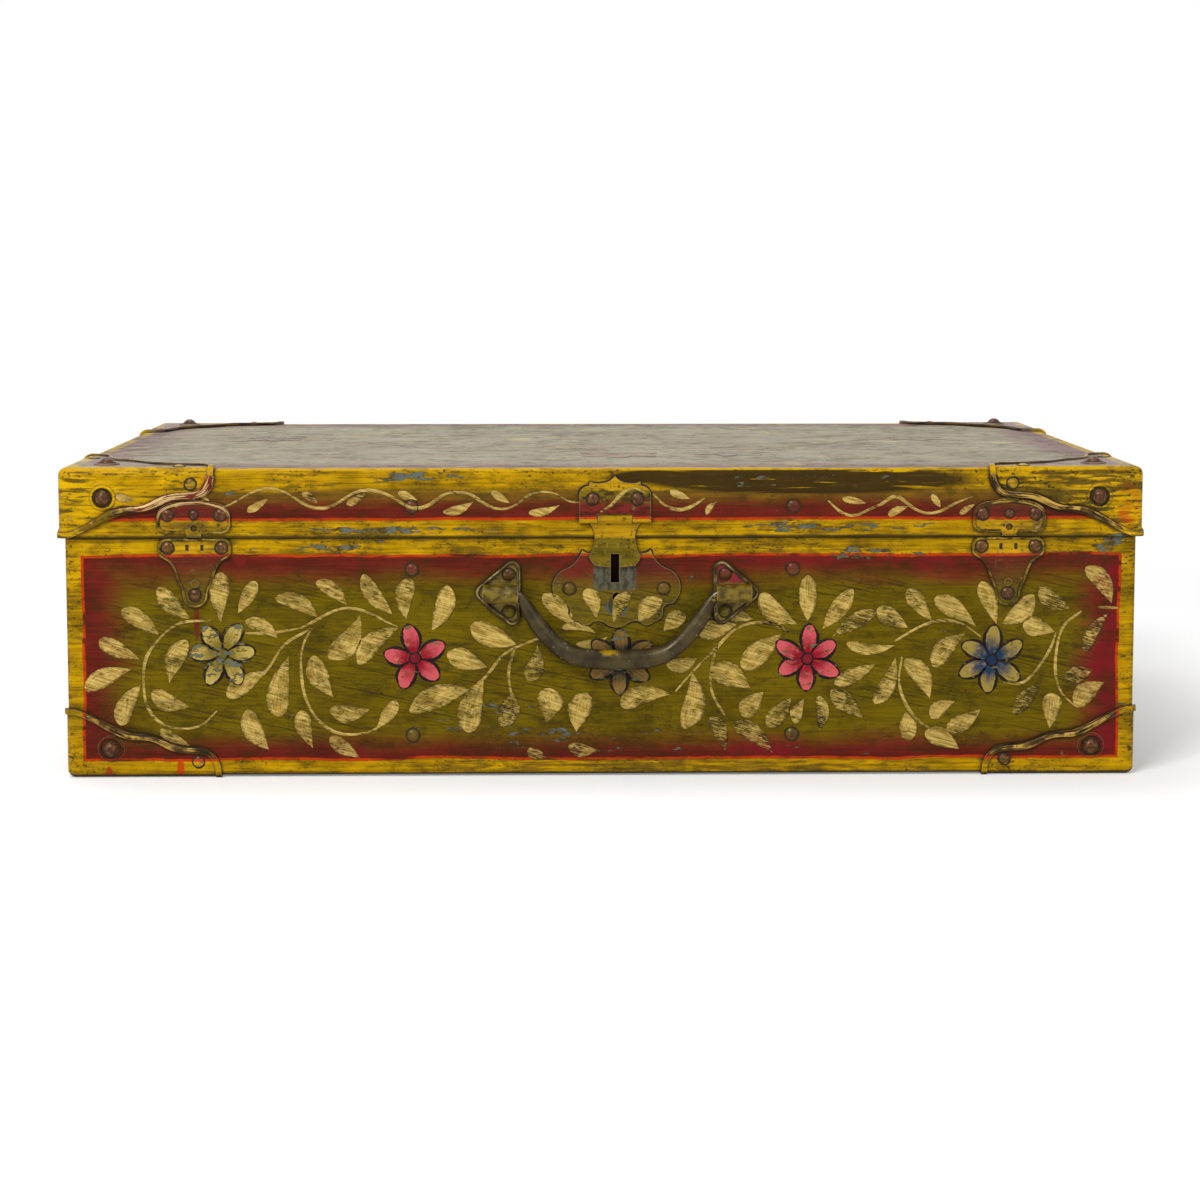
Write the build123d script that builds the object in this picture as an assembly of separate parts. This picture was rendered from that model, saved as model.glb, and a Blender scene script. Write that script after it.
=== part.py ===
"""Painted sheet-steel chest: a body and a shallow hinged lid, with pressed corner caps.

Frame: origin on the surface that the chest stands on, below its middle. +X is to the
right, +Y to the back and +Z up. The front, with lock, hasp and handle, looks along -Y.
All lengths are millimetres.
"""
from math import atan2, degrees, hypot, radians, tan
import os

from build123d import *

os.makedirs("parts", exist_ok=True)

# ---------------------------------------------------------------- driving dimensions
# Case
case_width = 658.0          # outside the body walls
case_depth = 402.0
body_height = 149.0         # standing surface to parting line
lid_height = 42.0           # parting line to the top of the lid sheet
sheet = 0.8                 # steel sheet of body, floor and lid
edge_radius = 4.0           # outside radius of the folded edges
rim_height = 5.0            # body wall that stands up inside the closed lid
lid_clearance = 1.4         # body wall to lid wall
floor_flange = 6.8          # body wall turned in under the floor
film = 0.1                  # paint between two pieces that lie on each other
running = 0.06              # radial clearance of a pin in its bore

# Corner caps, one pressing for all eight corners
cap_sheet = 0.9
cap_length = 94.0           # along the long edges
cap_height = 42.0           # along the upright edge
rib_width, rib_rise = 3.4, 1.3          # raised rib along a cap's free edge
stud_along, stud_across = 26.5, 17.3    # big stud from the corner, on an upright face
stud_top = 25.0             # big stud from both edges, on the lid's top
pin_inset, pin_across = 14.0, 9.0       # small rivet from the cap's end, on an upright face
pin_top_inset, pin_top_across = 22.0, 8.5       # and on the lid's top
stud_ring = 6.9             # radius of the embossed ring around a big stud
ring_wire = 1.1             # radius of that ring's section

# Rivets
shank = 1.6                 # shank radius
tail_radius, tail_height = 2.6, 0.8
stud_radius, stud_height = 5.2, 4.2
pin_radius, pin_height = 3.4, 1.2
panel_head, panel_rise = 3.9, 1.6
plate_head, plate_rise = 3.7, 1.5
small_head, small_rise = 2.6, 1.0

# Inner straps, riveted to front and back
strap_x = 117.0             # from the middle to a strap
strap_width = 24.0
strap_sheet = 1.2
strap_bend = 9.0            # outside radius of a strap's bends
strap_end = 8.0             # strap beyond its last rivet
body_rows = (26.0, 73.5, 129.0)         # heights of the rivets in a body strap
lid_row = 19.0              # rivet in a lid strap, above the parting line

# Fittings
plate = 1.2                 # steel plate of hinges, clasps, lock and handle brackets
rear_hinge_inset = 129.0    # from the case's side to the middle of a rear hinge
rear_leaf_width = 50.0
rear_leaf_height = 25.0
rear_knuckle = 3.5          # outside radius
rear_pin = 1.5              # radius
rear_gap = 0.3              # knuckle to lid wall
rear_side_gap = 0.25        # between two knuckles
rear_rivet_x, rear_rivet_z = 16.0, 16.5
rear_pin_head = 2.4
rear_mid_knuckle = 22.0     # width of the lid's knuckle
lid_open = 100.0            # degrees, where the stop noses meet the body leaves
stop_low, stop_high = 4.6, 2.0          # the open nose spans this much below the pin
stop_slack = 0.04

# Clasps: a plate on the lid and a plate on the body
clasp_inset = 79.5          # from the case's side to the middle of a clasp
clasp_half_width = 22.3
clasp_top, clasp_foot = 22.3, 2.6       # upper plate above the parting line
clasp_shoulder = 12.0
clasp_tab_half, clasp_tab_foot = 4.4, 0.4
clasp_corner = 5.0
clasp_rivet_x, clasp_rivet_z = 16.2, 14.2
clasp_eye_z, clasp_eye = 6.0, 2.1
catch_top, catch_shoulder = 0.4, 9.5    # lower plate below the parting line
catch_rivet_z, catch_rivet_x = 6.2, 16.5
catch_waist, catch_waist_z = 17.2, 13.6
catch_neck, catch_neck_z = 10.4, 27.0
catch_toe, catch_toe_z = 7.6, 35.4
catch_slot_x, catch_slot_wide, catch_slot_high = 4.6, 1.9, 3.6
tongue_z, tongue_radius = 28.4, 2.4

# Hasp
hasp_x = 7.5
hasp_axis_z = 11.2          # pin above the parting line
hasp_knuckle = 2.4
hasp_pin = 1.0
hasp_side_gap = 0.35
leaf_half_width = 22.0
leaf_rivet_x, leaf_rivet_z = 13.6, 23.6
# Right half of the leaf's crown, from the parting line: points, and arcs as (through, to)
crown_steps = [(22.0, 26.0), ((20.2, 29.8), (15.8, 31.6)), (15.5, 34.4),
               ((11.8, 33.2), (8.0, 33.4)), ((3.2, 34.7), (0, 37.6))]
tongue_knuckle_half = 10.4
hasp_shoulder_z = 8.4       # top of the tongue beside its knuckle
# Right half of the tongue below that: shoulder, waist, nibs and end
tongue_steps = [(15.4, 8.4), ((13.0, 4.2), (12.4, -0.8)), ((13.3, -6.2), (15.8, -11.6)),
                ((14.6, -14.5), (12.2, -17.4)), (0, -18.8)]
slot_wide = 5.3             # staple slot, also the notch in the hasp
slot_top, slot_bottom = 10.2, 28.3      # below the parting line

# Lock
lock_x = 8.5
lock_rivet_x, lock_rivet_z = 29.0, 32.0
lock_top_z = 10.0           # top edge below the parting line
# Right half of the scalloped lock plate: horn, shoulder, ear and the lobes of its foot
lock_steps = [(16.0, -10.0), ((19.0, -9.5), (21.0, -8.0)), ((25.5, -15.8), (33.0, -20.4)),
              ((39.3, -32.0), (34.4, -41.2)), ((30.6, -42.0), (28.4, -45.0)),
              ((27.3, -50.2), (23.2, -52.2)), ((18.5, -54.6), (14.6, -52.6)),
              ((10.0, -52.2), (5.0, -55.0)), (0, -56.2)]
key_x, key_z, key_radius = 9.0, 37.4, 3.1
key_slot_wide, key_slot_long = 2.8, 3.4         # the slot reaches twice its length down
key_post = 1.1
box_wide, box_high, box_deep = 46.0, 44.0, 11.0     # lock case behind the wall
box_sheet = 1.0
box_top_z = 6.5             # its top below the parting line
bolt_long, bolt_high, bolt_thick = 15.0, 17.0, 2.5
bolt_throw = 7.5
bolt_top_z = 14.5           # bolt's top edge below the parting line
bolt_setback = 1.2          # bolt's nose short of the staple slot
bolt_slack = 0.15
bolt_bite = 8.5             # radius cleared for the key's bit
guide_radius, guide_head = 1.6, 2.8
spring_thick, spring_wide = 0.5, 4.0

# Handle
handle_x = 8.9
handle_axis_z = 34.5        # pivot below the parting line
handle_out = 7.0            # pivot in front of the body wall
handle_half = 59.4          # middle to the inner edge of a bracket
bail_drop = 40.5            # pivot to the grip's axis
bail_knee_inset = 2.2       # bracket edge to the knee
bail_leg_lean = 15.2        # inward lean of a leg over the leg_drop
bail_leg_drop = 27.0
bail_bend = 24.0
bail_pin, bail_knee, bail_shoulder, bail_grip = 2.7, 2.9, 5.6, 6.4
bail_grip_flat = 10.0       # the grip's full thickness runs this long
bail_pin_long = 15.0
bracket_high, bracket_wide = 25.5, 30.3     # half height and width before rounding
bracket_round = 5.0
bracket_rim, bracket_rim_rise = 2.0, 1.0
barrel_radius, barrel_long, barrel_inset = 5.5, 21.5, 1.3
bracket_rivet_x, bracket_rivet_z = 7.2, 11.6

# ------------------------------------------------------------------- worked-out sizes
floor_level = cap_sheet + film              # underside of the body sheet
lid_step = lid_clearance + sheet            # lid wall in front of the body wall
lid_width = case_width + 2 * lid_step
lid_depth = case_depth + 2 * lid_step
lid_top = body_height + lid_height
rear_axis_y = case_depth / 2 + lid_step + rear_gap + rear_knuckle
clasp_x = case_width / 2 - clasp_inset
rear_hinge_x = case_width / 2 - rear_hinge_inset
over = 2.0                                  # how far a cutter runs past what it cuts

front = Plane(origin=(0, -case_depth / 2, 0), x_dir=(1, 0, 0), z_dir=(0, -1, 0)).location
rear = Plane(origin=(0, case_depth / 2, 0), x_dir=(-1, 0, 0), z_dir=(0, 1, 0)).location


def write(name, shape):
    """Write one sub-part as a STEP file."""
    export_step(shape, f"parts/{name}.step")


def spots(frame, places, out):
    """Locations on a face: x along it, z up and out in front of the body wall."""
    return [frame * Pos(x, z, out) for x, z in places]


def rivet(head_radius, head_height, grip):
    """A rivet on z = 0 of the outer sheet, holding a stack that is grip thick."""
    ball = (head_radius**2 + head_height**2) / (2 * head_height)
    head = Pos(0, 0, head_height - ball) * Sphere(ball)
    head = head & Pos(0, 0, head_height / 2) * Cylinder(head_radius, head_height)
    length = grip + 2 * film
    body = Pos(0, 0, -length / 2) * Cylinder(shank, length)
    tail = Pos(0, 0, -length - tail_height / 2) * Cylinder(tail_radius, tail_height)
    return Pos(0, 0, film) * (head + body + tail)


def hole(grip):
    """The cutter for one rivet's hole through its stack."""
    return Pos(0, 0, -grip / 2) * Cylinder(shank + running, grip + 2 * over)


def group(places, piece):
    """Copies of one piece, as separate solids in one node."""
    return Compound(children=[place * copy for place in places for copy in piece.solids()])


def drilled(shape, places, grip):
    """A shape with the holes of the rivets at these places."""
    return shape - [place * hole(grip) for place in places]


def prism(face, thickness, out):
    """A flat plate on the front frame, from its outline face."""
    return Pos(0, 0, out) * extrude(face, thickness)


def path(start, *steps):
    """Edges from point to point; a step of two points is an arc through the first of them."""
    edges, here = [], start
    for step in steps:
        curved = isinstance(step[0], tuple)
        edges.append(ThreePointArc(here, *step) if curved else Line(here, step))
        here = step[-1] if curved else step
    return edges


def mirrored_outline(*edges):
    """A face from the right half of an outline that starts and ends on x = 0."""
    half = Wire(edges)
    return make_face([*half.edges(), *half.mirror(Plane.YZ).edges()])


# ------------------------------------------------------------------------ corner caps
cap_out = film + cap_sheet                  # cap's outer face in front of the sheet
cap_reach = cap_out + rib_rise + over       # how far the outlines' blocks stand out
cap_grip = cap_sheet + film + sheet
cap_depth = 1.2 * max(cap_length, cap_height)   # enough box behind every outline


def ogee(length, height, waves):
    """The edge of a cap on one face, from (length, 0) to (0, height), square to both."""
    flat = edge_radius
    points = [(length, flat)] + [(length * u, height * v) for u, v in waves] + [(flat, height)]
    lead_in = Line((length, -cap_reach), (length, flat))
    curve = Spline(*points, tangents=[(0, 1), (-1, 0)], tangent_scalars=[0.5, 0.5])
    lead_out = Line((flat, height), (-cap_reach, height))
    return lead_in, curve, lead_out


upright_fractions = [(0.975, 0.27), (0.87, 0.40), (0.71, 0.44), (0.56, 0.585), (0.42, 0.62), (0.27, 0.76)]
level_fractions = [(0.975, 0.13), (0.83, 0.2), (0.62, 0.27), (0.45, 0.45)]
level_fractions += [(v, u) for u, v in reversed(level_fractions[:-1])]
# The three faces of a corner: the outline's plane, its two lengths and its waves
cap_faces = [
    (Plane((0, 0, 0), x_dir=(1, 0, 0), z_dir=(0, -1, 0)), cap_length, cap_height, upright_fractions),
    (Plane((0, 0, 0), x_dir=(0, 1, 0), z_dir=(1, 0, 0)), cap_length, cap_height, upright_fractions),
    (Plane((0, 0, 0), x_dir=(1, 0, 0), z_dir=(0, 0, 1)), cap_length, cap_length, level_fractions),
]


def corner_block(offset):
    """The rounded corner of the box, grown outwards by offset."""
    size = cap_depth + offset
    block = Pos(-offset, -offset, -offset) * Box(size, size, size, align=(Align.MIN,) * 3)
    corner = Vertex(-offset, -offset, -offset)
    near = [edge for edge in block.edges()
            if min(end.distance_to(corner) for end in edge.vertices()) < film]
    return fillet(near, edge_radius + offset)


def face_prisms(trim):
    """Blocks that cover the three faces of a corner up to the caps' outline, less a trim."""
    blocks = []
    for plane, length, height, waves in cap_faces:
        inwards = plane.z_dir.dot(Vector(1, 1, 1)) > 0
        lines = ogee(length - trim, height - trim, waves)
        near = -cap_reach
        close = Polyline((near, height - trim), (near, near), (length - trim, near))
        block = extrude(make_face([*lines, *close.edges()]), edge_radius + cap_reach)
        blocks.append(plane.location * Pos(0, 0, near if inwards else -edge_radius) * block)
    return blocks[0] + blocks[1:]


def cap_master():
    """A cap on the corner at the origin, whose box lies towards +X, +Y and +Z."""
    whole, inside = face_prisms(0), face_prisms(rib_width)
    skin = corner_block(cap_out) & whole
    rib = corner_block(cap_out + rib_rise) & (whole - inside)
    return (skin + rib) - corner_block(film)


def on_uprights(along, across):
    """A place on each of a corner's two upright faces, z pointing out of the box."""
    return [Pos(along, 0, across) * Rot(90, 0, 0), Pos(0, along, across) * Rot(0, -90, 0)]


def on_level(places):
    """Places on a corner's level face."""
    return [Pos(x, y, 0) * Rot(180, 0, 0) for x, y in places]


upright_studs = on_uprights(stud_along, stud_across)
upright_pins = on_uprights(cap_length - pin_inset, pin_across)
level_stud = on_level([(stud_top, stud_top)])
pin_top_along = cap_length - pin_top_inset
level_pins = on_level([(pin_top_along, pin_top_across), (pin_top_across, pin_top_along)])
lift = Pos(0, 0, cap_out)                   # from the sheet to a cap's outer face


def embossed(cap, studs):
    """A cap with a ring pressed up around each big stud, and its rivet holes."""
    rings = [stud * Pos(0, 0, cap_out) * Torus(stud_ring, ring_wire) for stud in studs]
    return (cap + rings) - corner_block(film)


def corners(shape, width, depth, level, top):
    """A master corner shape, copied to the four corners of a level, by name."""
    copies = {}
    for row, sign_y in (("front", 1), ("rear", -1)):
        for column, sign_x in (("left", 1), ("right", -1)):
            copy = shape
            copy = copy if sign_x > 0 else mirror(copy, about=Plane.YZ)
            copy = copy if sign_y > 0 else mirror(copy, about=Plane.XZ)
            copy = mirror(copy, about=Plane.XY) if top else copy
            place = Pos(-sign_x * width / 2, -sign_y * depth / 2, level)
            copies[f"{row}_{column}"] = place * copy
    return copies


def corner_solids(shapes, width, depth, level, top):
    """Several master solids, each copied to the four corners."""
    return [solid for shape in shapes
            for copy in corners(shape, width, depth, level, top).values()
            for solid in copy.solids()]


def block(low, high):
    """A box between two corners."""
    size = [b - a for a, b in zip(low, high)]
    return Pos(*low) * Box(*size, align=(Align.MIN,) * 3)


def round_box(width, depth, height, radius):
    """A box standing on z = 0 with its upright and bottom edges rounded."""
    solid = Box(width, depth, height, align=(Align.CENTER, Align.CENTER, Align.MIN))
    edges = solid.edges().filter_by(Axis.Z) + solid.faces().sort_by(Axis.Z)[0].edges()
    return fillet(edges, radius)


def tray(width, depth, height):
    """A sheet tray standing on z = 0, open at the top, with rounded folds."""
    inner = round_box(width - 2 * sheet, depth - 2 * sheet, height, edge_radius - sheet)
    return round_box(width, depth, height, edge_radius) - Pos(0, 0, sheet) * inner


def fused(*shapes):
    """One solid from several."""
    return shapes[0] + list(shapes[1:])


def both_sides(x):
    """The left and right copy of a place."""
    return {"left": -x, "right": x}


# ----------------------------------------------------------------- where rivets go
strap_grip = sheet + film + strap_sheet
leaf_grip = plate + film + sheet
lock_grip = leaf_grip + film + box_sheet
plate_out = film + plate                    # outer face of a plate on the body wall
lid_plate_out = lid_step + plate_out        # and on the lid wall
handle_z = body_height - handle_axis_z

body_strap_spots = [spot for frame in (front, rear) for spot in spots(
    frame, [(x, z) for x in (-strap_x, strap_x) for z in body_rows], 0)]
lid_strap_spots = [spot for frame in (front, rear) for spot in spots(
    frame, [(x, body_height + lid_row) for x in (-strap_x, strap_x)], lid_step)]
clasp_spots = spots(front, [(x + dx, body_height + clasp_rivet_z) for x in (-clasp_x, clasp_x)
                            for dx in (-clasp_rivet_x, clasp_rivet_x)], lid_plate_out)
clasp_mid_spots = spots(front, [(x, body_height + clasp_rivet_z) for x in (-clasp_x, clasp_x)],
                        lid_plate_out)
catch_pairs = [(x + dx, body_height - catch_rivet_z) for x in (-clasp_x, clasp_x)
               for dx in (-catch_rivet_x, catch_rivet_x)]
catch_toes = [(x, body_height - catch_toe_z) for x in (-clasp_x, clasp_x)]
catch_spots = spots(front, catch_pairs + catch_toes, plate_out)
hasp_spots = spots(front, [(hasp_x + dx, body_height + leaf_rivet_z)
                           for dx in (-leaf_rivet_x, leaf_rivet_x)], lid_plate_out)
lock_spots = spots(front, [(lock_x + dx, body_height - lock_rivet_z)
                           for dx in (-lock_rivet_x, lock_rivet_x)], plate_out)
bracket_reach = handle_half + bracket_rivet_x
bracket_spots = spots(front, [(handle_x + dx, handle_z + dz) for dx in (-bracket_reach, bracket_reach)
                              for dz in (-bracket_rivet_z, bracket_rivet_z)], plate_out)
rear_rivets = [side * rear_hinge_x + dx for side in (-1, 1) for dx in (-rear_rivet_x, rear_rivet_x)]
body_hinge_spots = spots(rear, [(x, body_height - rear_rivet_z) for x in rear_rivets], plate_out)
lid_hinge_spots = spots(rear, [(x, body_height + rear_rivet_z) for x in rear_rivets], lid_plate_out)

# ---------------------------------------------------------------------- cap pieces
stud = rivet(stud_radius, stud_height, cap_grip)
pin = rivet(pin_radius, pin_height, cap_grip)
master = cap_master()
body_cap_holes = [place * lift * hole(cap_grip) for place in upright_studs + upright_pins]
lid_cap_holes = body_cap_holes + [place * lift * hole(cap_grip) for place in level_stud + level_pins]
body_corner = (case_width, case_depth, floor_level, False)
lid_corner = (lid_width, lid_depth, lid_top, True)
below = block((-cap_reach, -cap_reach, -2 * cap_reach), (cap_depth, cap_depth, -cap_out))

body_cap = embossed(master, upright_studs) - body_cap_holes - below
lid_cap = embossed(master, upright_studs + level_stud) - lid_cap_holes
for name, cap in corners(body_cap, *body_corner).items():
    write(f"body_cap_{name}", cap)
for name, cap in corners(lid_cap, *lid_corner).items():
    write(f"lid_cap_{name}", cap)
for name, piece, upright, level in (("studs", stud, upright_studs, level_stud),
                                    ("pins", pin, upright_pins, level_pins)):
    on_body = corner_solids([place * lift * piece for place in upright], *body_corner)
    on_lid = corner_solids([place * lift * piece for place in upright + level], *lid_corner)
    write(f"body_cap_{name}", Compound(children=on_body))
    write(f"lid_cap_{name}", Compound(children=on_lid))

# ---------------------------------------------------------- body, floor, lid, straps
slot_middle = body_height - (slot_top + slot_bottom) / 2
lock_slot = Pos(hasp_x, slot_middle) * Rectangle(slot_wide, slot_bottom - slot_top)
key_round = Pos(key_x, body_height - key_z) * Circle(key_radius)
keyhole = key_round + Pos(key_x, body_height - key_z - key_slot_long) * Rectangle(
    key_slot_wide, 2 * key_slot_long)
openings = Pos(0, 0, -edge_radius) * extrude(lock_slot + keyhole, edge_radius + plate_out + over)

body_cuts = [spot * hole(strap_grip) for spot in body_strap_spots]
body_cuts += [spot * hole(leaf_grip) for spot in catch_spots + bracket_spots + body_hinge_spots]
body_cuts += [spot * hole(lock_grip) for spot in lock_spots]
body_cuts += corner_solids(body_cap_holes, *body_corner)
body_cuts.append(front * openings)
window = Box(case_width - 2 * floor_flange, case_depth - 2 * floor_flange, 2 * over)
body = tray(case_width, case_depth, body_height + rim_height - floor_level) - window
write("body_wall", Pos(0, 0, floor_level) * body - body_cuts)

floor_size = [size - 2 * (edge_radius + film) for size in (case_width, case_depth)]
floor_under = floor_level + sheet + film
write("floor_sheet", Pos(0, 0, floor_under + sheet / 2) * Box(*floor_size, sheet))

lid_cuts = [spot * hole(strap_grip) for spot in lid_strap_spots]
lid_cuts += [spot * hole(leaf_grip) for spot in clasp_spots + clasp_mid_spots + hasp_spots + lid_hinge_spots]
lid_cuts += corner_solids(lid_cap_holes, *lid_corner)
lid_sheet = Pos(0, 0, lid_top) * mirror(tray(lid_width, lid_depth, lid_height), about=Plane.XY)
write("lid_sheet", lid_sheet - lid_cuts)


def strap(depth, low, high, open_top):
    """A flat strap bent to a U against the front, the back and the floor or the lid."""
    reach = strap_bend + over
    centre = (low + high + (reach if open_top else -reach)) / 2
    outer = RectangleRounded(depth, high - low + reach, strap_bend)
    inner = RectangleRounded(depth - 2 * strap_sheet, high - low + reach - 2 * strap_sheet,
                             strap_bend - strap_sheet)
    keep = Pos(0, (low + high) / 2) * Rectangle(depth + over, high - low)
    outline = (Pos(0, centre) * (outer - inner)) & keep
    return extrude(Plane.YZ * outline, strap_width / 2, both=True)


lining = sheet + film
body_strap = strap(case_depth - 2 * lining, floor_under + lining, body_rows[-1] + strap_end, True)
lid_strap = strap(lid_depth - 2 * lining, body_height + lid_row - strap_end, lid_top - lining, False)
for side, x in both_sides(strap_x).items():
    write(f"body_strap_{side}", drilled(Pos(x, 0, 0) * body_strap, body_strap_spots, strap_grip))
    write(f"lid_strap_{side}", drilled(Pos(x, 0, 0) * lid_strap, lid_strap_spots, strap_grip))
panel_rivet = rivet(panel_head, panel_rise, strap_grip)
write("body_strap_rivets", group(body_strap_spots, panel_rivet))
write("lid_strap_rivets", group(lid_strap_spots, panel_rivet))

# ----------------------------------------------------------------------- rear hinges
half_leaf, half_mid = rear_leaf_width / 2, rear_mid_knuckle / 2
rear_bore = rear_pin + running
wall_y, lid_wall_y = case_depth / 2, case_depth / 2 + lid_step
axis_z = body_height


def rear_round(radius, low, high):
    """A cylinder on the rear hinge's axis, between two places along it."""
    return Pos((low + high) / 2, rear_axis_y, axis_z) * Rot(0, 90, 0) * Cylinder(radius, high - low)


def rear_body_leaf():
    """The leaf on the body, with the two outer knuckles, at x = 0."""
    top = axis_z - rear_knuckle + plate
    leaf = block((-half_leaf, wall_y + film, axis_z - rear_leaf_height), (half_leaf, wall_y + plate_out, top))
    parts = [leaf]
    for low, high in ((-half_leaf, -half_mid - rear_side_gap), (half_mid + rear_side_gap, half_leaf)):
        parts.append(block((low, wall_y + film, axis_z - rear_knuckle), (high, rear_axis_y, top)))
        parts.append(rear_round(rear_knuckle, low, high))
    return fused(*parts) - rear_round(rear_bore, -half_leaf - over, half_leaf + over)


def rear_lid_leaf():
    """The leaf on the lid, with the middle knuckle and its stop nose, at x = 0."""
    foot = axis_z + rear_knuckle + 2 * rear_side_gap
    back = lid_wall_y + film
    upper = block((-half_leaf, back, foot), (half_leaf, back + plate, axis_z + rear_leaf_height))
    web = block((-half_mid, back, axis_z), (half_mid, back + plate, foot))
    knuckle = rear_round(rear_knuckle, -half_mid, half_mid)
    reach = rear_axis_y - wall_y - plate_out - stop_slack
    nose = block((-half_mid, -reach, -stop_low), (half_mid, 0, -stop_high))
    nose = Pos(0, rear_axis_y, axis_z) * Rot(lid_open, 0, 0) * nose
    return fused(upper, web, knuckle, nose) - rear_round(rear_bore, -half_leaf - over, half_leaf + over)


def hinge_pin(radius, head, length):
    """A pin along X with a head at each end."""
    rod = Cylinder(radius, length + 2 * film)
    ends = [Pos(0, 0, sign * (length / 2 + film + radius / 2)) * Cylinder(head, radius) for sign in (-1, 1)]
    return Rot(0, 90, 0) * (rod + ends)


for side, x in both_sides(rear_hinge_x).items():
    body_leaf, lid_leaf = Pos(x, 0, 0) * rear_body_leaf(), Pos(x, 0, 0) * rear_lid_leaf()
    write(f"rear_hinge_body_leaf_{side}", drilled(body_leaf, body_hinge_spots, leaf_grip))
    write(f"rear_hinge_lid_leaf_{side}", drilled(lid_leaf, lid_hinge_spots, leaf_grip))
rear_pins = [Pos(x, rear_axis_y, axis_z) for x in both_sides(rear_hinge_x).values()]
write("rear_hinge_pins", group(rear_pins, hinge_pin(rear_pin, rear_pin_head, rear_leaf_width)))
plate_rivet = rivet(plate_head, plate_rise, leaf_grip)
write("rear_hinge_body_rivets", group(body_hinge_spots, plate_rivet))
write("rear_hinge_lid_rivets", group(lid_hinge_spots, plate_rivet))

# --------------------------------------------------------------------------- clasps
half, corner = clasp_half_width, clasp_corner
bend = corner * (1 - 0.5**0.5)
clasp_face = mirrored_outline(
    Line((0, clasp_foot), (half - corner, clasp_foot)),
    ThreePointArc((half - corner, clasp_foot), (half - bend, clasp_foot + bend), (half, clasp_foot + corner)),
    Line((half, clasp_foot + corner), (half, clasp_shoulder)),
    Spline((half, clasp_shoulder), (0, clasp_top), tangents=[(0, 1), (-1, 0)]))
tab = Pos(0, (clasp_tab_foot + clasp_foot) / 2 + over / 2) * Rectangle(
    2 * clasp_tab_half, clasp_foot - clasp_tab_foot + over)
clasp_face = clasp_face + tab - Pos(0, clasp_eye_z) * Circle(clasp_eye)
catch_face = mirrored_outline(
    Line((0, -catch_top), (half - corner, -catch_top)),
    ThreePointArc((half - corner, -catch_top), (half - bend, -catch_top - bend), (half, -catch_top - corner)),
    Line((half, -catch_top - corner), (half, -catch_shoulder)),
    Spline((half, -catch_shoulder), (catch_waist, -catch_waist_z), (catch_neck, -catch_neck_z),
           (catch_toe, -catch_toe_z), tangents=[(-0.3, -1), (0, -1)]),
    ThreePointArc((catch_toe, -catch_toe_z), (catch_toe * 0.5**0.5, -catch_toe_z - catch_toe * 0.5**0.5),
                  (0, -catch_toe_z - catch_toe)))
for dx in (-catch_slot_x, catch_slot_x):
    catch_face = catch_face - Pos(dx, -catch_rivet_z) * Rectangle(catch_slot_wide, catch_slot_high)
lanced = Pos(0, -tongue_z, plate_out + tongue_radius / 4) * Cylinder(tongue_radius, tongue_radius / 2)
for side, x in both_sides(clasp_x).items():
    place = front * Pos(x, body_height, 0)
    write(f"clasp_plate_{side}", drilled(place * prism(clasp_face, plate, lid_step + film),
                                         clasp_spots + clasp_mid_spots, leaf_grip))
    write(f"catch_plate_{side}", drilled(place * (prism(catch_face, plate, film) + lanced),
                                         catch_spots, leaf_grip))
write("clasp_rivets", Compound(children=[
    *group(clasp_spots, plate_rivet).solids(),
    *group(clasp_mid_spots, rivet(small_head, small_rise, leaf_grip)).solids()]))
write("catch_rivets", group(catch_spots, plate_rivet))

# ----------------------------------------------------------------------------- hasp
hasp_out = lid_step + film + hasp_knuckle   # pin in front of the body wall
hasp_place = front * Pos(hasp_x, body_height, 0)
hasp_bore = hasp_pin + running


def hasp_barrel(low, high):
    """A hasp knuckle between two places along the pin."""
    barrel = Cylinder(hasp_knuckle, high - low) - Cylinder(hasp_bore, high - low + over)
    return Pos((low + high) / 2, hasp_axis_z, hasp_out) * Rot(0, 90, 0) * barrel


def hasp_clearance():
    """The pin's bore through the plates."""
    return Pos(0, hasp_axis_z, hasp_out) * Rot(0, 90, 0) * Cylinder(hasp_bore, 2 * leaf_half_width + over)


crown = mirrored_outline(*path((0, hasp_axis_z), (leaf_half_width, hasp_axis_z), *crown_steps))
gap_half = tongue_knuckle_half + hasp_side_gap
gap_top = hasp_axis_z + hasp_knuckle + hasp_side_gap
leaf = prism(crown, plate, lid_step + film) - block(
    (-gap_half, hasp_axis_z - over, 0), (gap_half, gap_top, lid_plate_out + over))
leaf = fused(leaf, hasp_barrel(-leaf_half_width, -gap_half), hasp_barrel(gap_half, leaf_half_width))
write("hasp_leaf", drilled(hasp_place * (leaf - hasp_clearance()), hasp_spots, leaf_grip))

tongue = mirrored_outline(*path((0, hasp_axis_z), (tongue_knuckle_half, hasp_axis_z),
                                (tongue_knuckle_half, hasp_shoulder_z), *tongue_steps))
notch = Pos(0, -slot_top - slot_bottom / 2) * Rectangle(slot_wide, slot_bottom)
tongue = prism(tongue - notch, plate, lid_step + film)
tongue = tongue + hasp_barrel(-tongue_knuckle_half, tongue_knuckle_half) - hasp_clearance()
write("hasp_tongue", hasp_place * tongue)
write("hasp_pin", hasp_place * Pos(0, hasp_axis_z, hasp_out) * Rot(0, 90, 0) * Cylinder(
    hasp_pin, 2 * leaf_half_width))
write("hasp_rivets", group(hasp_spots, plate_rivet))

# ----------------------------------------------------------------------------- lock
lock_face = mirrored_outline(*path((0, -lock_top_z), *lock_steps))
lock_plate = prism(Pos(lock_x, body_height) * lock_face, plate, film) - openings
write("lock_plate", drilled(front * lock_plate, lock_spots, leaf_grip))
write("lock_rivets", group(lock_spots, rivet(plate_head, plate_rise, lock_grip)))

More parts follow.
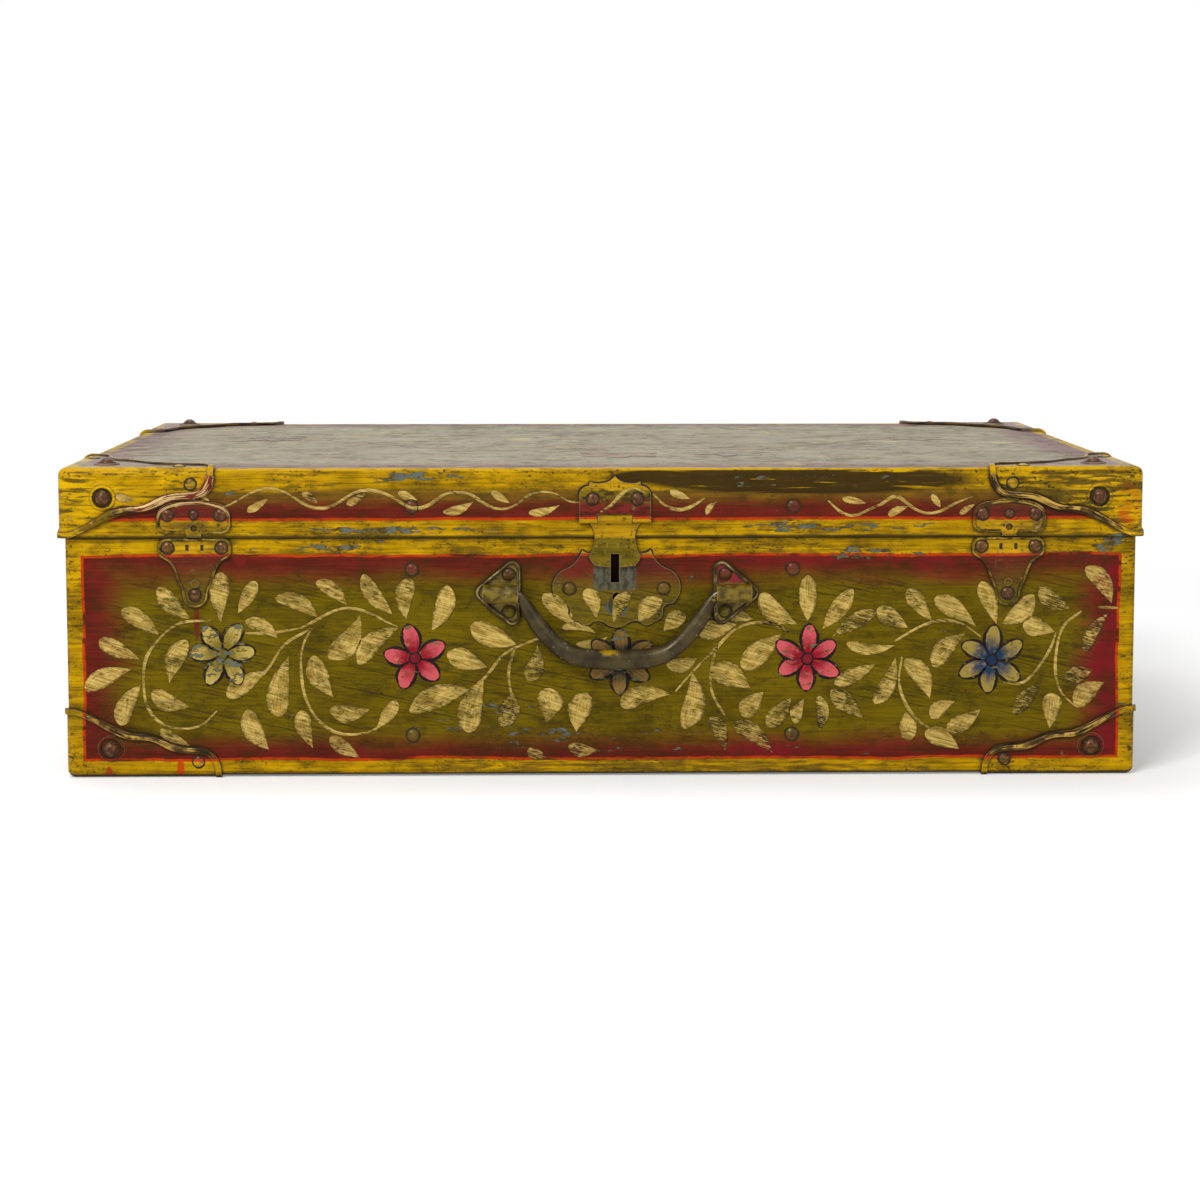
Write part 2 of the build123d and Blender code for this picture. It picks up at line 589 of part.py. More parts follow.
case_out = -(sheet + film)                  # the lock case stands against the wall
back_out = case_out - box_deep + box_sheet  # inner face of the case's back
box_top = body_height - box_top_z
box_low, box_high_x = lock_x - box_wide / 2, lock_x + box_wide / 2
shell = block((box_low, box_top - box_high, case_out - box_deep), (box_high_x, box_top, case_out))
hollow = block((box_low + box_sheet, box_top - box_high + box_sheet, back_out),
               (box_high_x - box_sheet, box_top - box_sheet, case_out + over))
ear_reach = lock_rivet_x + tail_radius + over
ear_z, ear_half = body_height - lock_rivet_z, tail_radius + over
ears = block((lock_x - ear_reach, ear_z - ear_half, case_out - box_sheet),
             (lock_x + ear_reach, ear_z + ear_half, case_out))
nose_x = hasp_x - slot_wide / 2 - bolt_setback
guide_x = nose_x - over - guide_radius - bolt_slack
guide_z = body_height - bolt_top_z - bolt_high / 3
guide_long = bolt_thick + 2 * bolt_slack
guide = Pos(guide_x, guide_z, back_out + guide_long / 2) * Cylinder(guide_radius, guide_long)
guide_cap = Pos(guide_x, guide_z, back_out + guide_long + box_sheet / 2) * Cylinder(guide_head, box_sheet)
case = fused(fused(shell, ears) - hollow, guide, guide_cap)
write("lock_case", drilled(front * case, lock_spots, lock_grip))

bolt = block((nose_x - bolt_long, body_height - bolt_top_z - bolt_high, back_out + bolt_slack),
             (nose_x, body_height - bolt_top_z, back_out + bolt_slack + bolt_thick))
slot_reach = guide_radius + bolt_slack
bolt_slot = block((guide_x - slot_reach - bolt_throw, guide_z - slot_reach, back_out),
                  (guide_x + slot_reach, guide_z + slot_reach, back_out + bolt_thick + over))
bite = Pos(key_x, body_height - key_z, back_out) * Cylinder(bolt_bite, 2 * (bolt_thick + over))
write("lock_bolt", front * (bolt - bolt_slot - bite))
post_long = -back_out - film
write("key_post", front * Pos(key_x, body_height - key_z, back_out + film + post_long / 2)
      * Cylinder(key_post, post_long))
spring_low = body_height - bolt_top_z + bolt_slack
write("bolt_spring", front * block((box_low + box_sheet + film, spring_low, back_out + film),
                                   (nose_x, spring_low + spring_thick, back_out + film + spring_wide)))

# --------------------------------------------------------------------------- handle
bracket_face = Polyline((0, -bracket_high), (bracket_wide, 0), (0, bracket_high), (0, -bracket_high))
bracket_face = make_face(bracket_face.edges())
bracket_face = fillet(bracket_face.vertices(), bracket_round)
rim = bracket_face - offset(bracket_face, -bracket_rim)
barrel_end = barrel_inset + barrel_long
barrel_middle = (barrel_inset + barrel_end) / 2
barrel = Pos(barrel_middle, 0, handle_out) * Rot(0, 90, 0) * Cylinder(barrel_radius, barrel_long)
saddle = block((barrel_inset, -barrel_radius, film), (barrel_end, barrel_radius, handle_out))
bail_bore = Pos(0, 0, handle_out) * Rot(0, 90, 0) * Cylinder(
    bail_pin + running, 2 * (barrel_inset + bail_pin_long + film))
bracket = fused(prism(bracket_face, plate, film), prism(rim, plate + bracket_rim_rise, film),
                barrel, saddle) - bail_bore
handle_place = front * Pos(handle_x, handle_z, 0)
right_bracket = Pos(handle_half, 0, 0) * bracket
for side, piece in (("right", right_bracket), ("left", mirror(right_bracket, about=Plane.YZ))):
    write(f"handle_bracket_{side}", drilled(handle_place * piece, bracket_spots, leaf_grip))
write("handle_rivets", group(bracket_spots, plate_rivet))

knee_x = handle_half - bail_knee_inset
lean = bail_leg_lean / bail_leg_drop        # sideways per unit of drop
turn = degrees(atan2(bail_leg_drop, bail_leg_lean))
tangent = bail_bend * tan(radians(turn / 2))
leg_unit = Vector(-bail_leg_lean, -bail_leg_drop) / hypot(bail_leg_lean, bail_leg_drop)
elbow = Vector(knee_x - lean * bail_drop, -bail_drop)
leg_end = elbow - leg_unit * tangent
grip_end = elbow - Vector(tangent, 0)
knee = Vector(knee_x, 0)
leg = Plane(origin=knee, z_dir=leg_unit).location * Cone(
    bail_knee, bail_shoulder, (leg_end - knee).length, align=(Align.CENTER, Align.CENTER, Align.MIN))
section = Plane(origin=grip_end, z_dir=(1, 0, 0)) * Circle(bail_shoulder)
curve = revolve(section, Axis((grip_end.X, grip_end.Y + bail_bend, 0), (0, 0, 1)), turn)
bail_pin_end = handle_half + barrel_inset + bail_pin_long
pivot = Pos((knee_x + bail_pin_end) / 2, 0, 0) * Rot(0, 90, 0) * Cylinder(bail_pin, bail_pin_end - knee_x)
side = fused(leg, curve, Pos(knee_x, 0, 0) * Sphere(bail_knee + 2 * film), pivot)
taper = grip_end.X - bail_grip_flat / 2
swell = Pos(bail_grip_flat / 2 + taper / 2, 0, 0) * Rot(0, 90, 0) * Cone(bail_grip, bail_shoulder, taper)
grip = Rot(0, 90, 0) * Cylinder(bail_grip, bail_grip_flat)
grip = Pos(0, -bail_drop, 0) * fused(grip, swell, mirror(swell, about=Plane.YZ))
bail = fused(grip, side, mirror(side, about=Plane.YZ))
write("handle_bail", handle_place * Pos(0, 0, handle_out) * bail)
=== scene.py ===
"""Painted sheet-steel chest: coats, painted ornament, rolled beads and soft studio light.

Everything is in metres in the row frame: +X to the right, +Y to the back, +Z up, and the
front looks along -Y. Shader expressions work in millimetres in the same frame.
"""
from __future__ import annotations

import logging
import math
import random
from dataclasses import dataclass, field, replace
from enum import Enum
from typing import Any, ClassVar, Iterable, Mapping, Sequence, Union

import bpy
import numpy as np
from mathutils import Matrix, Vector
from mathutils.bvhtree import BVHTree

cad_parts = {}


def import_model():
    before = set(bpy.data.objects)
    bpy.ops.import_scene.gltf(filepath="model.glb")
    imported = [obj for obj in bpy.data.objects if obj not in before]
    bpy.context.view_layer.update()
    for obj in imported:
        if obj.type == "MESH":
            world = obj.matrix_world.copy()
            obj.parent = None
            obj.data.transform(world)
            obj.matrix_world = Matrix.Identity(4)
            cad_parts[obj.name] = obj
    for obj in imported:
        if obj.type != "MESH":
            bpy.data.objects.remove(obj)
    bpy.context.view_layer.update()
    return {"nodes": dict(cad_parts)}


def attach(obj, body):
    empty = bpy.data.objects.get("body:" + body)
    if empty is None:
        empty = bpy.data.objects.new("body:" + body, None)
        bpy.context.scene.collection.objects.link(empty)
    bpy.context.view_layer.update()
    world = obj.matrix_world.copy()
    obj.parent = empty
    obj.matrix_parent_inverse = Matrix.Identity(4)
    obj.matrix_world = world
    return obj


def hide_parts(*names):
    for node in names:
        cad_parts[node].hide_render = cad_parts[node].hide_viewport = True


MM = 0.001
HALF_WIDTH, HALF_DEPTH = 329.0, 201.0       # body walls, millimetres
PARTING, LID_TOP = 149.0, 191.0
LID_STEP = 2.2                              # lid wall outside the body wall
BRUSH_START = 0.6                           # metres from the middle, outside everything
BRUSH_REACH = 0.003                         # metres past the sheet that a brush still finds
CORNERS = [f"{row}_{column}" for row in ("front", "rear") for column in ("left", "right")]
Colour = tuple[float, float, float]
Point = tuple[float, float]
Piece, Material, Socket = bpy.types.Object, bpy.types.Material, bpy.types.NodeSocket
Nodes = Mapping[str, Piece]                 # the frame's pieces by name
Pair = tuple[np.ndarray, np.ndarray]        # places, with their marks or normals
Place = tuple[float, float, float]
Patch = tuple[float, float, float, float]   # x, z, width and height in millimetres
log = logging.getLogger("chest")


def srgb(red: int, green: int, blue: int) -> Colour:
    """Linear colour of a mixed paint given as it looks, 0 to 255."""
    def linear(level: float) -> float:
        """One channel."""
        return level / 12.92 if level <= 0.04045 else ((level + 0.055) / 1.055) ** 2.4
    return linear(red / 255), linear(green / 255), linear(blue / 255)


# ------------------------------------------------------------------------ shader maths
class Value:
    """A number that varies over a surface: an output socket with arithmetic."""

    def __init__(self, shade: Shade, socket: Socket) -> None:
        """Wraps a socket of a shade's tree."""
        self.shade, self.socket = shade, socket

    def math(self, operation: str, *terms: Number, swap: bool = False) -> Value:
        """One Math node.

        Args:
            operation: the Math node's operation.
            terms: the other operands.
            swap: put this value after the first term.

        Returns:
            The node's result.
        """
        operands: list[Number] = [self, *terms]
        if swap:
            operands[:2] = operands[1::-1]
        node = self.shade.node("ShaderNodeMath", {"operation": operation}, dict(enumerate(operands)))
        return Value(self.shade, node.outputs[0])

    def __add__(self, other: Number) -> Value:
        """Sum."""
        return self.math("ADD", other)

    __radd__ = __add__

    def __sub__(self, other: Number) -> Value:
        """Difference."""
        return self.math("SUBTRACT", other)

    def __rsub__(self, other: Number) -> Value:
        """Difference, reflected."""
        return self.math("SUBTRACT", other, swap=True)

    def __mul__(self, other: Number) -> Value:
        """Product."""
        return self.math("MULTIPLY", other)

    __rmul__ = __mul__

    def __abs__(self) -> Value:
        """Magnitude."""
        return self.math("ABSOLUTE")

    def __and__(self, other: Number) -> Value:
        """Where both masks are on."""
        return self.math("MULTIPLY", other)

    def __or__(self, other: Number) -> Value:
        """Where either mask is on."""
        return self.math("MAXIMUM", other)

    def least(self, other: Number) -> Value:
        """The smaller of the two."""
        return self.math("MINIMUM", other)

    def most(self, other: Number) -> Value:
        """The larger of the two."""
        return self.math("MAXIMUM", other)

    def rise(self, low: Number, high: Number) -> Value:
        """A soft step from 0 at low to 1 at high."""
        node = self.shade.node("ShaderNodeMapRange", {"interpolation_type": "SMOOTHSTEP"},
                               {"Value": self, "From Min": low, "From Max": high})
        return Value(self.shade, node.outputs[0])

    def fall(self, low: Number, high: Number) -> Value:
        """A soft step from 1 at low to 0 at high."""
        return 1 - self.rise(low, high)


Number = Union[Value, float, int]
Hue = Union[Socket, Colour]


class Shade:
    """The node tree of one material."""

    def __init__(self, name: str, base: Shade | None = None) -> None:
        """Makes a material with an empty tree, or with a copy of another shade's tree."""
        if base:
            self.material = base.material.copy()
            self.material.name = name
            self.tree = self.material.node_tree
            self.position = self.same(base.position)
            self.x, self.y, self.z = (Value(self, self.same(part.socket))
                                      for part in (base.x, base.y, base.z))
            return
        self.material = bpy.data.materials.new(name)
        self.material.use_nodes = True
        self.tree = self.material.node_tree
        self.tree.nodes.clear()
        self.position = self.vector("SCALE", self.node("ShaderNodeTexCoord").outputs["Object"],
                                    {"Scale": 1 / MM})
        self.x, self.y, self.z = self.split(self.position)

    def same(self, socket: Socket) -> Socket:
        """The output in this tree for one in the tree that it was copied from."""
        mine, theirs = self.tree.nodes[socket.node.name].outputs, socket.node.outputs
        return mine[[output == socket for output in theirs].index(True)]

    def node(self, kind: str, settings: Mapping[str, Any] = {},
             sockets: Mapping[Union[int, str], Any] = {}) -> bpy.types.Node:
        """Adds a node.

        Args:
            kind: the node's type.
            settings: its properties.
            sockets: values or links of its input sockets, by name or number.

        Returns:
            The node.
        """
        node = self.tree.nodes.new(kind)
        for name, setting in settings.items():
            setattr(node, name, setting)
        for key, given in sockets.items():
            socket = node.inputs[key]
            if isinstance(given, Value):
                self.tree.links.new(given.socket, socket)
            elif isinstance(given, Socket):
                self.tree.links.new(given, socket)
            elif socket.type == "RGBA":
                socket.default_value = (*given, 1)
            else:
                socket.default_value = given
        return node

    def vector(self, operation: str, first: Any, more: Mapping[Union[int, str], Any]) -> Socket:
        """The vector result of a Vector Math node."""
        return self.node("ShaderNodeVectorMath", {"operation": operation}, {0: first, **more}).outputs[0]

    def length(self, vector: Socket) -> Value:
        """The length of a vector."""
        return Value(self, self.node("ShaderNodeVectorMath", {"operation": "LENGTH"}, {0: vector}).outputs[1])

    def split(self, vector: Socket) -> tuple[Value, Value, Value]:
        """The three parts of a vector."""
        outputs = self.node("ShaderNodeSeparateXYZ", {}, {0: vector}).outputs
        return Value(self, outputs[0]), Value(self, outputs[1]), Value(self, outputs[2])

    def join(self, x: Number, y: Number, z: Number) -> Socket:
        """A vector from three numbers."""
        return self.node("ShaderNodeCombineXYZ", {}, {0: x, 1: y, 2: z}).outputs[0]

    def noise(self, size: Union[float, Place], detail: float = 2.0, seed: float = 0.0, at: Any = None,
              roughness: float = 0.5) -> Value:
        """Lumpy noise around 0.5.

        Args:
            size: length of a lump along each axis, in millimetres.
            detail: octaves.
            seed: moves the pattern.
            at: where it is looked up, or None for the surface itself.
            roughness: weight of the finer octaves.

        Returns:
            The noise.
        """
        spans = (size,) * 3 if isinstance(size, (int, float)) else size
        where = self.vector("DIVIDE", self.position if at is None else at, {1: spans})
        moved = self.vector("ADD", where, {1: (seed, 2.3 * seed, 5.1 * seed)})
        node = self.node("ShaderNodeTexNoise", {}, {
            "Vector": moved, "Scale": 1.0, "Detail": detail, "Roughness": roughness})
        return Value(self, node.outputs[0])

    def mix(self, factor: Number, first: Hue, second: Hue) -> Socket:
        """Colour first where factor is 0, second where it is 1."""
        node = self.node("ShaderNodeMix", {"data_type": "RGBA"}, {0: factor, 6: first, 7: second})
        return node.outputs[2]

    def spot(self, x: float, z: float, wide: float, high: float) -> Value:
        """A soft patch on the upright walls, 1 in its middle and 0 at its rim."""
        away = self.vector("SUBTRACT", self.join(self.x, 0, self.z), {1: (x, 0, z)})
        return self.length(self.vector("DIVIDE", away, {1: (wide, 1, high)})).fall(0.3, 1.0)

    def attribute(self, name: str) -> tuple[Value, Value, Value]:
        """The three channels of a mesh's colour attribute."""
        node = self.node("ShaderNodeAttribute", {"attribute_name": name})
        return self.split(node.outputs["Vector"])

    def crevice(self, reach: float) -> Value:
        """1 in the open and 0 deep in a corner, looked for over a reach in millimetres."""
        node = self.node("ShaderNodeAmbientOcclusion", {"samples": 6}, {"Distance": reach * MM})
        return Value(self, node.outputs["AO"])

    def edge(self, radius: float) -> Value:
        """1 along sharp edges, found with a bevel of a radius in millimetres."""
        bent = self.node("ShaderNodeBevel", {"samples": 4}, {"Radius": radius * MM}).outputs[0]
        flat = self.node("ShaderNodeNewGeometry").outputs["Normal"]
        node = self.node("ShaderNodeVectorMath", {"operation": "DOT_PRODUCT"}, {0: bent, 1: flat})
        return Value(self, node.outputs[1]).fall(0.86, 0.985)

    def finish(self, layer: Layer) -> Material:
        """Ends the tree in one shader that shows a layer.

        Args:
            layer: the layer on top.

        Returns:
            The material.
        """
        bump = self.node("ShaderNodeBump", {}, {"Strength": 0.6, "Distance": layer.relief * MM,
                                                "Height": layer.height})
        shader = self.node("ShaderNodeBsdfPrincipled", {}, {
            "Base Color": layer.colour, "Roughness": layer.roughness, "Metallic": layer.metal,
            "Specular IOR Level": layer.gloss, "Normal": bump.outputs[0]})
        self.node("ShaderNodeOutputMaterial", {}, {"Surface": shader.outputs[0]})
        return self.material


@dataclass
class Layer:
    """What shows at the surface."""

    colour: Hue
    roughness: Number = 0.5
    metal: Number = 0.0
    height: Number = 0.5
    relief: float = 0.25        # millimetres from the lowest to the highest point
    gloss: float = 0.1


# --------------------------------------------------------------------------- the coats
@dataclass(frozen=True)
class WornPlace:
    """A place on the walls where paint has chipped away, in millimetres."""

    x: float
    z: float
    wide: float
    high: float
    share: float


@dataclass(frozen=True)
class ChestCoat:
    """The brushed zones: yellow borders, orange line, red shading, olive field, grey top."""

    border: float = 10.6        # width of the yellow border
    line: float = 1.5           # width of the orange line
    lid_border: float = 12.4    # yellow along the lid's top edge
    lid_foot: float = 31.6      # where the lid's lower yellow band starts, from the top
    yellow: Colour = srgb(194, 149, 0)
    deep_yellow: Colour = srgb(108, 82, 2)
    cap_light: Colour = srgb(212, 165, 0)
    cap_deep: Colour = srgb(146, 110, 0)
    line_colour: Colour = srgb(176, 56, 10)
    red: Colour = srgb(104, 31, 21)
    dark_red: Colour = srgb(70, 24, 14)
    crimson: Colour = srgb(112, 22, 28)
    olive: Colour = srgb(108, 90, 4)
    dark_olive: Colour = srgb(74, 60, 2)
    stroke: Colour = srgb(46, 38, 12)
    umber: Colour = srgb(74, 60, 22)
    chip: Colour = srgb(92, 98, 88)
    # dark colour of specks, chip edges and scratches, and also of the painted shade in crevices and the painted
    # shadow along the parting
    rim: Colour = srgb(44, 38, 20)
    # greys of the top: worn paint, lightened as a painted sheen of the pale room seen at a grazing angle
    top_worn_sheen_grey: Colour = srgb(158, 151, 130)
    top_worn_sheen_dark: Colour = srgb(130, 122, 103)
    top_mauve: Colour = srgb(126, 98, 98)
    top_yellow: Colour = srgb(176, 148, 62)
    top_faded: Colour = srgb(196, 178, 120)
    top_blush: Colour = srgb(164, 104, 104)
    brown: Colour = srgb(124, 88, 18)
    bared: Colour = srgb(52, 37, 12)
    steel: Colour = srgb(104, 110, 110)
    dull_steel: Colour = srgb(72, 76, 76)
    rust: Colour = srgb(88, 62, 40)
    places: tuple[WornPlace, ...] = (
        WornPlace(-116, 186, 46, 5, 0.19), WornPlace(-125, 153.5, 80, 3.2, 0.20),
        WornPlace(-168, 142, 62, 6, 0.17), WornPlace(165, 138, 54, 6, 0.15),
        WornPlace(316, 142, 26, 14, 0.14), WornPlace(-272, 49, 26, 9, 0.08),
        WornPlace(-60, 34, 66, 22, 0.125), WornPlace(25, 23, 120, 13, 0.08),
        WornPlace(-2, 70, 22, 20, 0.10), WornPlace(130, 155, 120, 4, 0.14),
        WornPlace(128, 184, 96, 7, 0.10), WornPlace(60, 121, 12, 20, 0.08),
        WornPlace(-29, 84, 20, 14, 0.19), WornPlace(-228, 180, 20, 8, 0.10), WornPlace(322, 60, 8, 60, 0.06))
    drips: tuple[Patch, ...] = ((-249, 97, 2.2, 15), (242, 98, 2.0, 9), (-222, 140, 6, 12), (-18, 131, 12, 9))
    mixed: dict[bool, tuple[Shade, Layer]] = field(default_factory=dict)

    def begin(self, name: str, on_cap: bool = False) -> tuple[Shade, Layer]:
        """A new material whose tree starts with the coat, which is mixed once and then copied.

        Args:
            name: the material's name.
            on_cap: start from the coat of a lid cap.

        Returns:
            The material's shade, and the coat in it.
        """
        if on_cap not in self.mixed:
            shade = Shade("coat_on_caps" if on_cap else "coat_on_walls")
            self.mixed[on_cap] = shade, self.lay(shade, on_cap)
        base, coat = self.mixed[on_cap]
        shade = Shade(name, base)
        roughness, height = (Value(shade, shade.same(part.socket)) for part in (coat.roughness, coat.height))
        return shade, Layer(shade.same(coat.colour), roughness, 0.0, height, gloss=coat.gloss)

    def put_away(self) -> None:
        """Drops the coats that were only copied."""
        for shade, _ in self.mixed.values():
            bpy.data.materials.remove(shade.material)
        self.mixed.clear()

    def brushed(self, shade: Shade, light: Hue, dark: Hue, seed: float) -> Socket:
        """One paint with the streaks that a flat brush leaves along a wall.

        Args:
            shade: the material's tree.
            light: the paint where it is thick.
            dark: the paint where it is thin.
            seed: moves the streaks.

        Returns:
            The colour.
        """
        streaks = shade.noise((38, 38, 1.3), 4, seed).rise(0.34, 0.68)
        clouds = shade.noise((26, 26, 15), 3, seed + 3).rise(0.35, 0.7)
        return shade.mix(streaks * 0.5 + clouds * 0.5, light, dark)

    def walls(self, shade: Shade, wobble: Value, edge: Value) -> Socket:
        """The upright walls of the body.

        Args:
            shade: the material's tree.
            wobble: how far the brush strays, in millimetres.
            edge: distance from the nearest upright edge.

        Returns:
            The colour.
        """
        z = shade.z
        border = edge.least(z).least(PARTING - z) + wobble
        blot = (shade.noise((52, 52, 18), 3, 7) - 0.5) * 26
        red_part = (edge + blot).fall(20, 46) | (PARTING - z + blot * 0.8).fall(15, 35)
        red_part = red_part | (z + blot * 0.5).fall(15, 32)
        ground = self.brushed(shade, self.olive, self.dark_olive, 1)
        slant = shade.join(shade.x + shade.y, shade.x * 0.0, shade.z + (shade.x + shade.y) * 0.22)
        strokes = shade.noise((46, 46, 0.9), 4, 11, slant).rise(0.52, 0.68)
        strokes = strokes & (shade.noise((70, 70, 30), 2, 5).rise(0.42, 0.6) | shade.spot(-90, 60, 150, 46))
        ground = shade.mix(strokes * 0.8, ground, self.stroke)
        reds = self.brushed(shade, self.red, self.dark_red, 2)
        bright = shade.noise((50, 50, 14), 3, 9.5).rise(0.44, 0.62) & (shade.x.rise(30, 90) * 0.75 + 0.1)
        reds = shade.mix(bright, reds, self.crimson)
        colour = shade.mix(red_part, ground, reds)
        line = abs(border - (self.border + self.line / 2)).fall(self.line * 0.3, self.line * 0.8)
        colour = shade.mix(line & shade.noise((24, 24, 6), 2, 9).rise(0.32, 0.46), colour, self.line_colour)
        for x, z, wide, high in self.drips:
            runs = shade.noise((1.6, 30, 14), 3, 10).rise(0.3, 0.45)
            dripped = shade.spot(x, z, wide, high).rise(0.05, 0.5) & runs & (shade.y * -1).rise(150, 160)
            colour = shade.mix(dripped * 0.85, colour, self.red)
        yellows = self.brushed(shade, self.yellow, self.deep_yellow, 3)
        colour = shade.mix(border.fall(self.border - 0.4, self.border + 0.2), colour, yellows)
        blot = shade.spot(-260, 5.5, 3.0, 8.5) | shade.spot(-304, 3.5, 2.6, 5)
        return shade.mix(blot.rise(0.1, 0.5) * 0.9, colour, self.line_colour)

    def lid_walls(self, shade: Shade, wobble: Value) -> Socket:
        """The upright walls of the lid.

        Args:
            shade: the material's tree.
            wobble: how far the brush strays, in millimetres.

        Returns:
            The colour.
        """
        down = LID_TOP - shade.z + wobble * 0.6
        yellows = self.brushed(shade, self.yellow, self.deep_yellow, 4)
        reds = self.brushed(shade, self.red, self.dark_red, 6)
        browns = self.brushed(shade, self.brown, self.umber, 8)
        blend = (down + (shade.noise((30, 30, 5), 3, 12) - 0.5) * 9).rise(14, 25)
        colour = shade.mix(blend, browns, reds)
        colour = shade.mix(abs(down - (self.lid_foot - 0.8)).fall(0.5, 1.3) * 0.9, colour, self.line_colour)
        colour = shade.mix(down.rise(self.lid_foot - 0.3, self.lid_foot + 0.3), colour, yellows)
        ragged = down + (shade.noise((40, 40, 4), 4, 13) - 0.5) * 7
        colour = shade.mix(ragged.fall(self.lid_border - 1.5, self.lid_border + 2), colour, yellows)
        worn = shade.spot(124, 184, 128, 11) | shade.spot(32, 186, 34, 5)
        worn = worn & shade.noise((44, 44, 2.6), 5, 14).rise(0.30, 0.42)
        return shade.mix(worn.rise(0.0, 0.4) * 0.97, colour, self.bared)

    def top(self, shade: Shade) -> Socket:
        """The worn top of the lid, greyed by worn paint and by a painted sheen.

        Args:
            shade: the material's tree.

        Returns:
            The colour.
        """
        inward = (HALF_WIDTH + LID_STEP - abs(shade.x)).least(HALF_DEPTH + LID_STEP - abs(shade.y))
        streaks = shade.noise((75, 7, 20), 5, 15).rise(0.34, 0.7)
        blotches = shade.noise((60, 38, 20), 4, 16).rise(0.4, 0.68)
        colour = shade.mix(streaks * 0.6 + blotches * 0.4, self.top_worn_sheen_grey, self.top_worn_sheen_dark)
        edge = inward + (shade.noise((40, 40, 20), 4, 17) - 0.5) * 26
        colour = shade.mix(edge.fall(14, 50) * 0.8, colour, self.top_mauve)
        faded = shade.noise((26, 20, 20), 4, 16.5).rise(0.6, 0.72) * 0.5
        colour = shade.mix(faded, colour, self.top_faded)
        blush = shade.noise((34, 22, 20), 3, 17.5).rise(0.62, 0.74) * 0.4
        colour = shade.mix(blush, colour, self.top_blush)
        yellows = shade.mix(shade.noise((22, 22, 20), 4, 18).rise(0.46, 0.62), self.top_yellow, self.top_worn_sheen_dark)
        yellows = shade.mix(inward.fall(2.5, 5), yellows, self.yellow)
        return shade.mix((inward + (shade.noise(9, 3, 19) - 0.5) * 3).fall(8.6, 10.4), colour, yellows)

    @staticmethod
    def grey(shade: Shade, level: Number) -> Socket:
        """A level as a colour, for mixing."""
        return shade.join(level, level, level)

    def inside(self, shade: Shade) -> Value:
        """1 on the inner faces of body and lid.

        Args:
            shade: the material's tree.

        Returns:
            The mask.
        """
        lid = shade.z.rise(PARTING + 5.6, PARTING + 5.7)
        reach = shade.join(HALF_WIDTH - 4 + lid * LID_STEP, HALF_DEPTH - 4 + lid * LID_STEP, 0)
        out = shade.vector("ABSOLUTE", shade.join(shade.x, shade.y, 0), {})
        sx, sy, _ = shade.split(shade.vector("SUBTRACT", out, {1: reach}))
        sz = (5 - shade.z).most(shade.z - (LID_TOP - 4))
        depth = shade.length(shade.join(sx.most(0), sy.most(0), sz.most(0))) + sx.most(sy).most(sz).least(0) - 4
        return depth.fall(-0.6, -0.4)

    def lay(self, shade: Shade, on_cap: bool = False) -> Layer:
        """The whole painted surface, chips and grime included, with painted shade in the crevices and a painted
        shadow along the parting.

        Args:
            shade: the material's tree.
            on_cap: paint as on a lid cap, which is yellow nearly all over.

        Returns:
            The layer.
        """
        wobble = (shade.noise(70, 2, 20) - 0.5) * 5 + (shade.noise(7, 3, 21) - 0.5) * 1.4
        edge = (HALF_WIDTH + LID_STEP / 2 - abs(shade.x)).most(HALF_DEPTH + LID_STEP / 2 - abs(shade.y))
        colour = self.walls(shade, wobble, edge)
        on_lid = shade.z.rise(PARTING - 0.05, PARTING + 0.05)
        colour = shade.mix(on_lid, colour, self.cap_yellow(shade) if on_cap else self.lid_walls(shade, wobble))
        on_top = shade.z.rise(LID_TOP - 1.4, LID_TOP - 0.5)
        colour = shade.mix(on_top, colour, self.top(shade))
        colour = self.soil_and_shade(shade, colour, edge, on_lid, on_top, on_cap)
        colour, chipped = self.chip_off(shade, colour, on_top)
        # painted shade: the coat turns to the dark colour in crevices and round the feet of fittings
        unshaded = shade.crevice(3.8).rise(0.45, 0.92)
        colour = shade.mix((1 - unshaded) * 0.9, colour, self.rim)
        height = shade.noise((40, 40, 0.9), 3, 27) * 0.35 + 0.5 - chipped * 0.4
        roughness = 0.40 + shade.noise(16, 3, 28) * 0.26 + chipped * 0.15
        return Layer(colour, roughness, 0.0, height, gloss=0.045)

    def soil_and_shade(self, shade: Shade, colour: Hue, edge: Value, on_lid: Value, on_top: Value, on_cap: bool) -> Hue:
        """Specks, umber smears and grime over the paint, a painted shadow along the parting, and a darker line
        at the foot.

        Args:
            shade: the material's tree.
            colour: the clean paint.
            edge: distance from the nearest upright edge.
            on_lid: 1 on the lid.
            on_top: 1 on the lid's top.
            on_cap: paint as on a lid cap.

        Returns:
            The colour.
        """
        patches = shade.noise((30, 30, 16), 3, 34)
        down = LID_TOP - shade.z
        border = edge.least(shade.z).least(PARTING - shade.z).fall(10, 12)
        on_yellow = shade.mix(on_lid, self.grey(shade, border),
                              self.grey(shade, down.fall(11, 14) | down.rise(30, 32) | float(on_cap)))
        on_yellow = Value(shade, on_yellow) & (1 - on_top)
        corner = (edge.fall(3, 9) + down.fall(1.5, 5) * (1 - on_top) + shade.z.fall(1, 5)).least(1) * 0.05
        specks = shade.noise((2.4, 2.4, 1.3), 4, 22) + (patches - 0.5) * 0.3 + on_yellow * 0.02 + corner
        colour = shade.mix(specks.rise(0.655, 0.70) * 0.85, colour, self.rim)
        low = shade.spot(30, 2, 210, 16) * 0.14 + patches * 0.3
        smear = shade.noise((17, 17, 2.0), 4, 29) + low - 0.15
        colour = shade.mix((smear.rise(0.52, 0.70) & on_yellow) * 0.62, colour, self.umber)
        grime = shade.noise((9, 9, 5), 4, 35, roughness=0.62) + (patches - 0.5) * 0.5
        colour = shade.mix(grime.rise(0.45, 0.72) * 0.5, colour, self.stroke)
        # painted shadow: a dark line along the parting under the lid's edge; also darker along the foot
        parting = (abs(shade.z - PARTING).fall(0.5, 1.9) | (shade.z.fall(0.8, 2.6) * 0.7)) * (1 - on_top)
        return shade.mix(parting * 0.85, colour, self.rim)

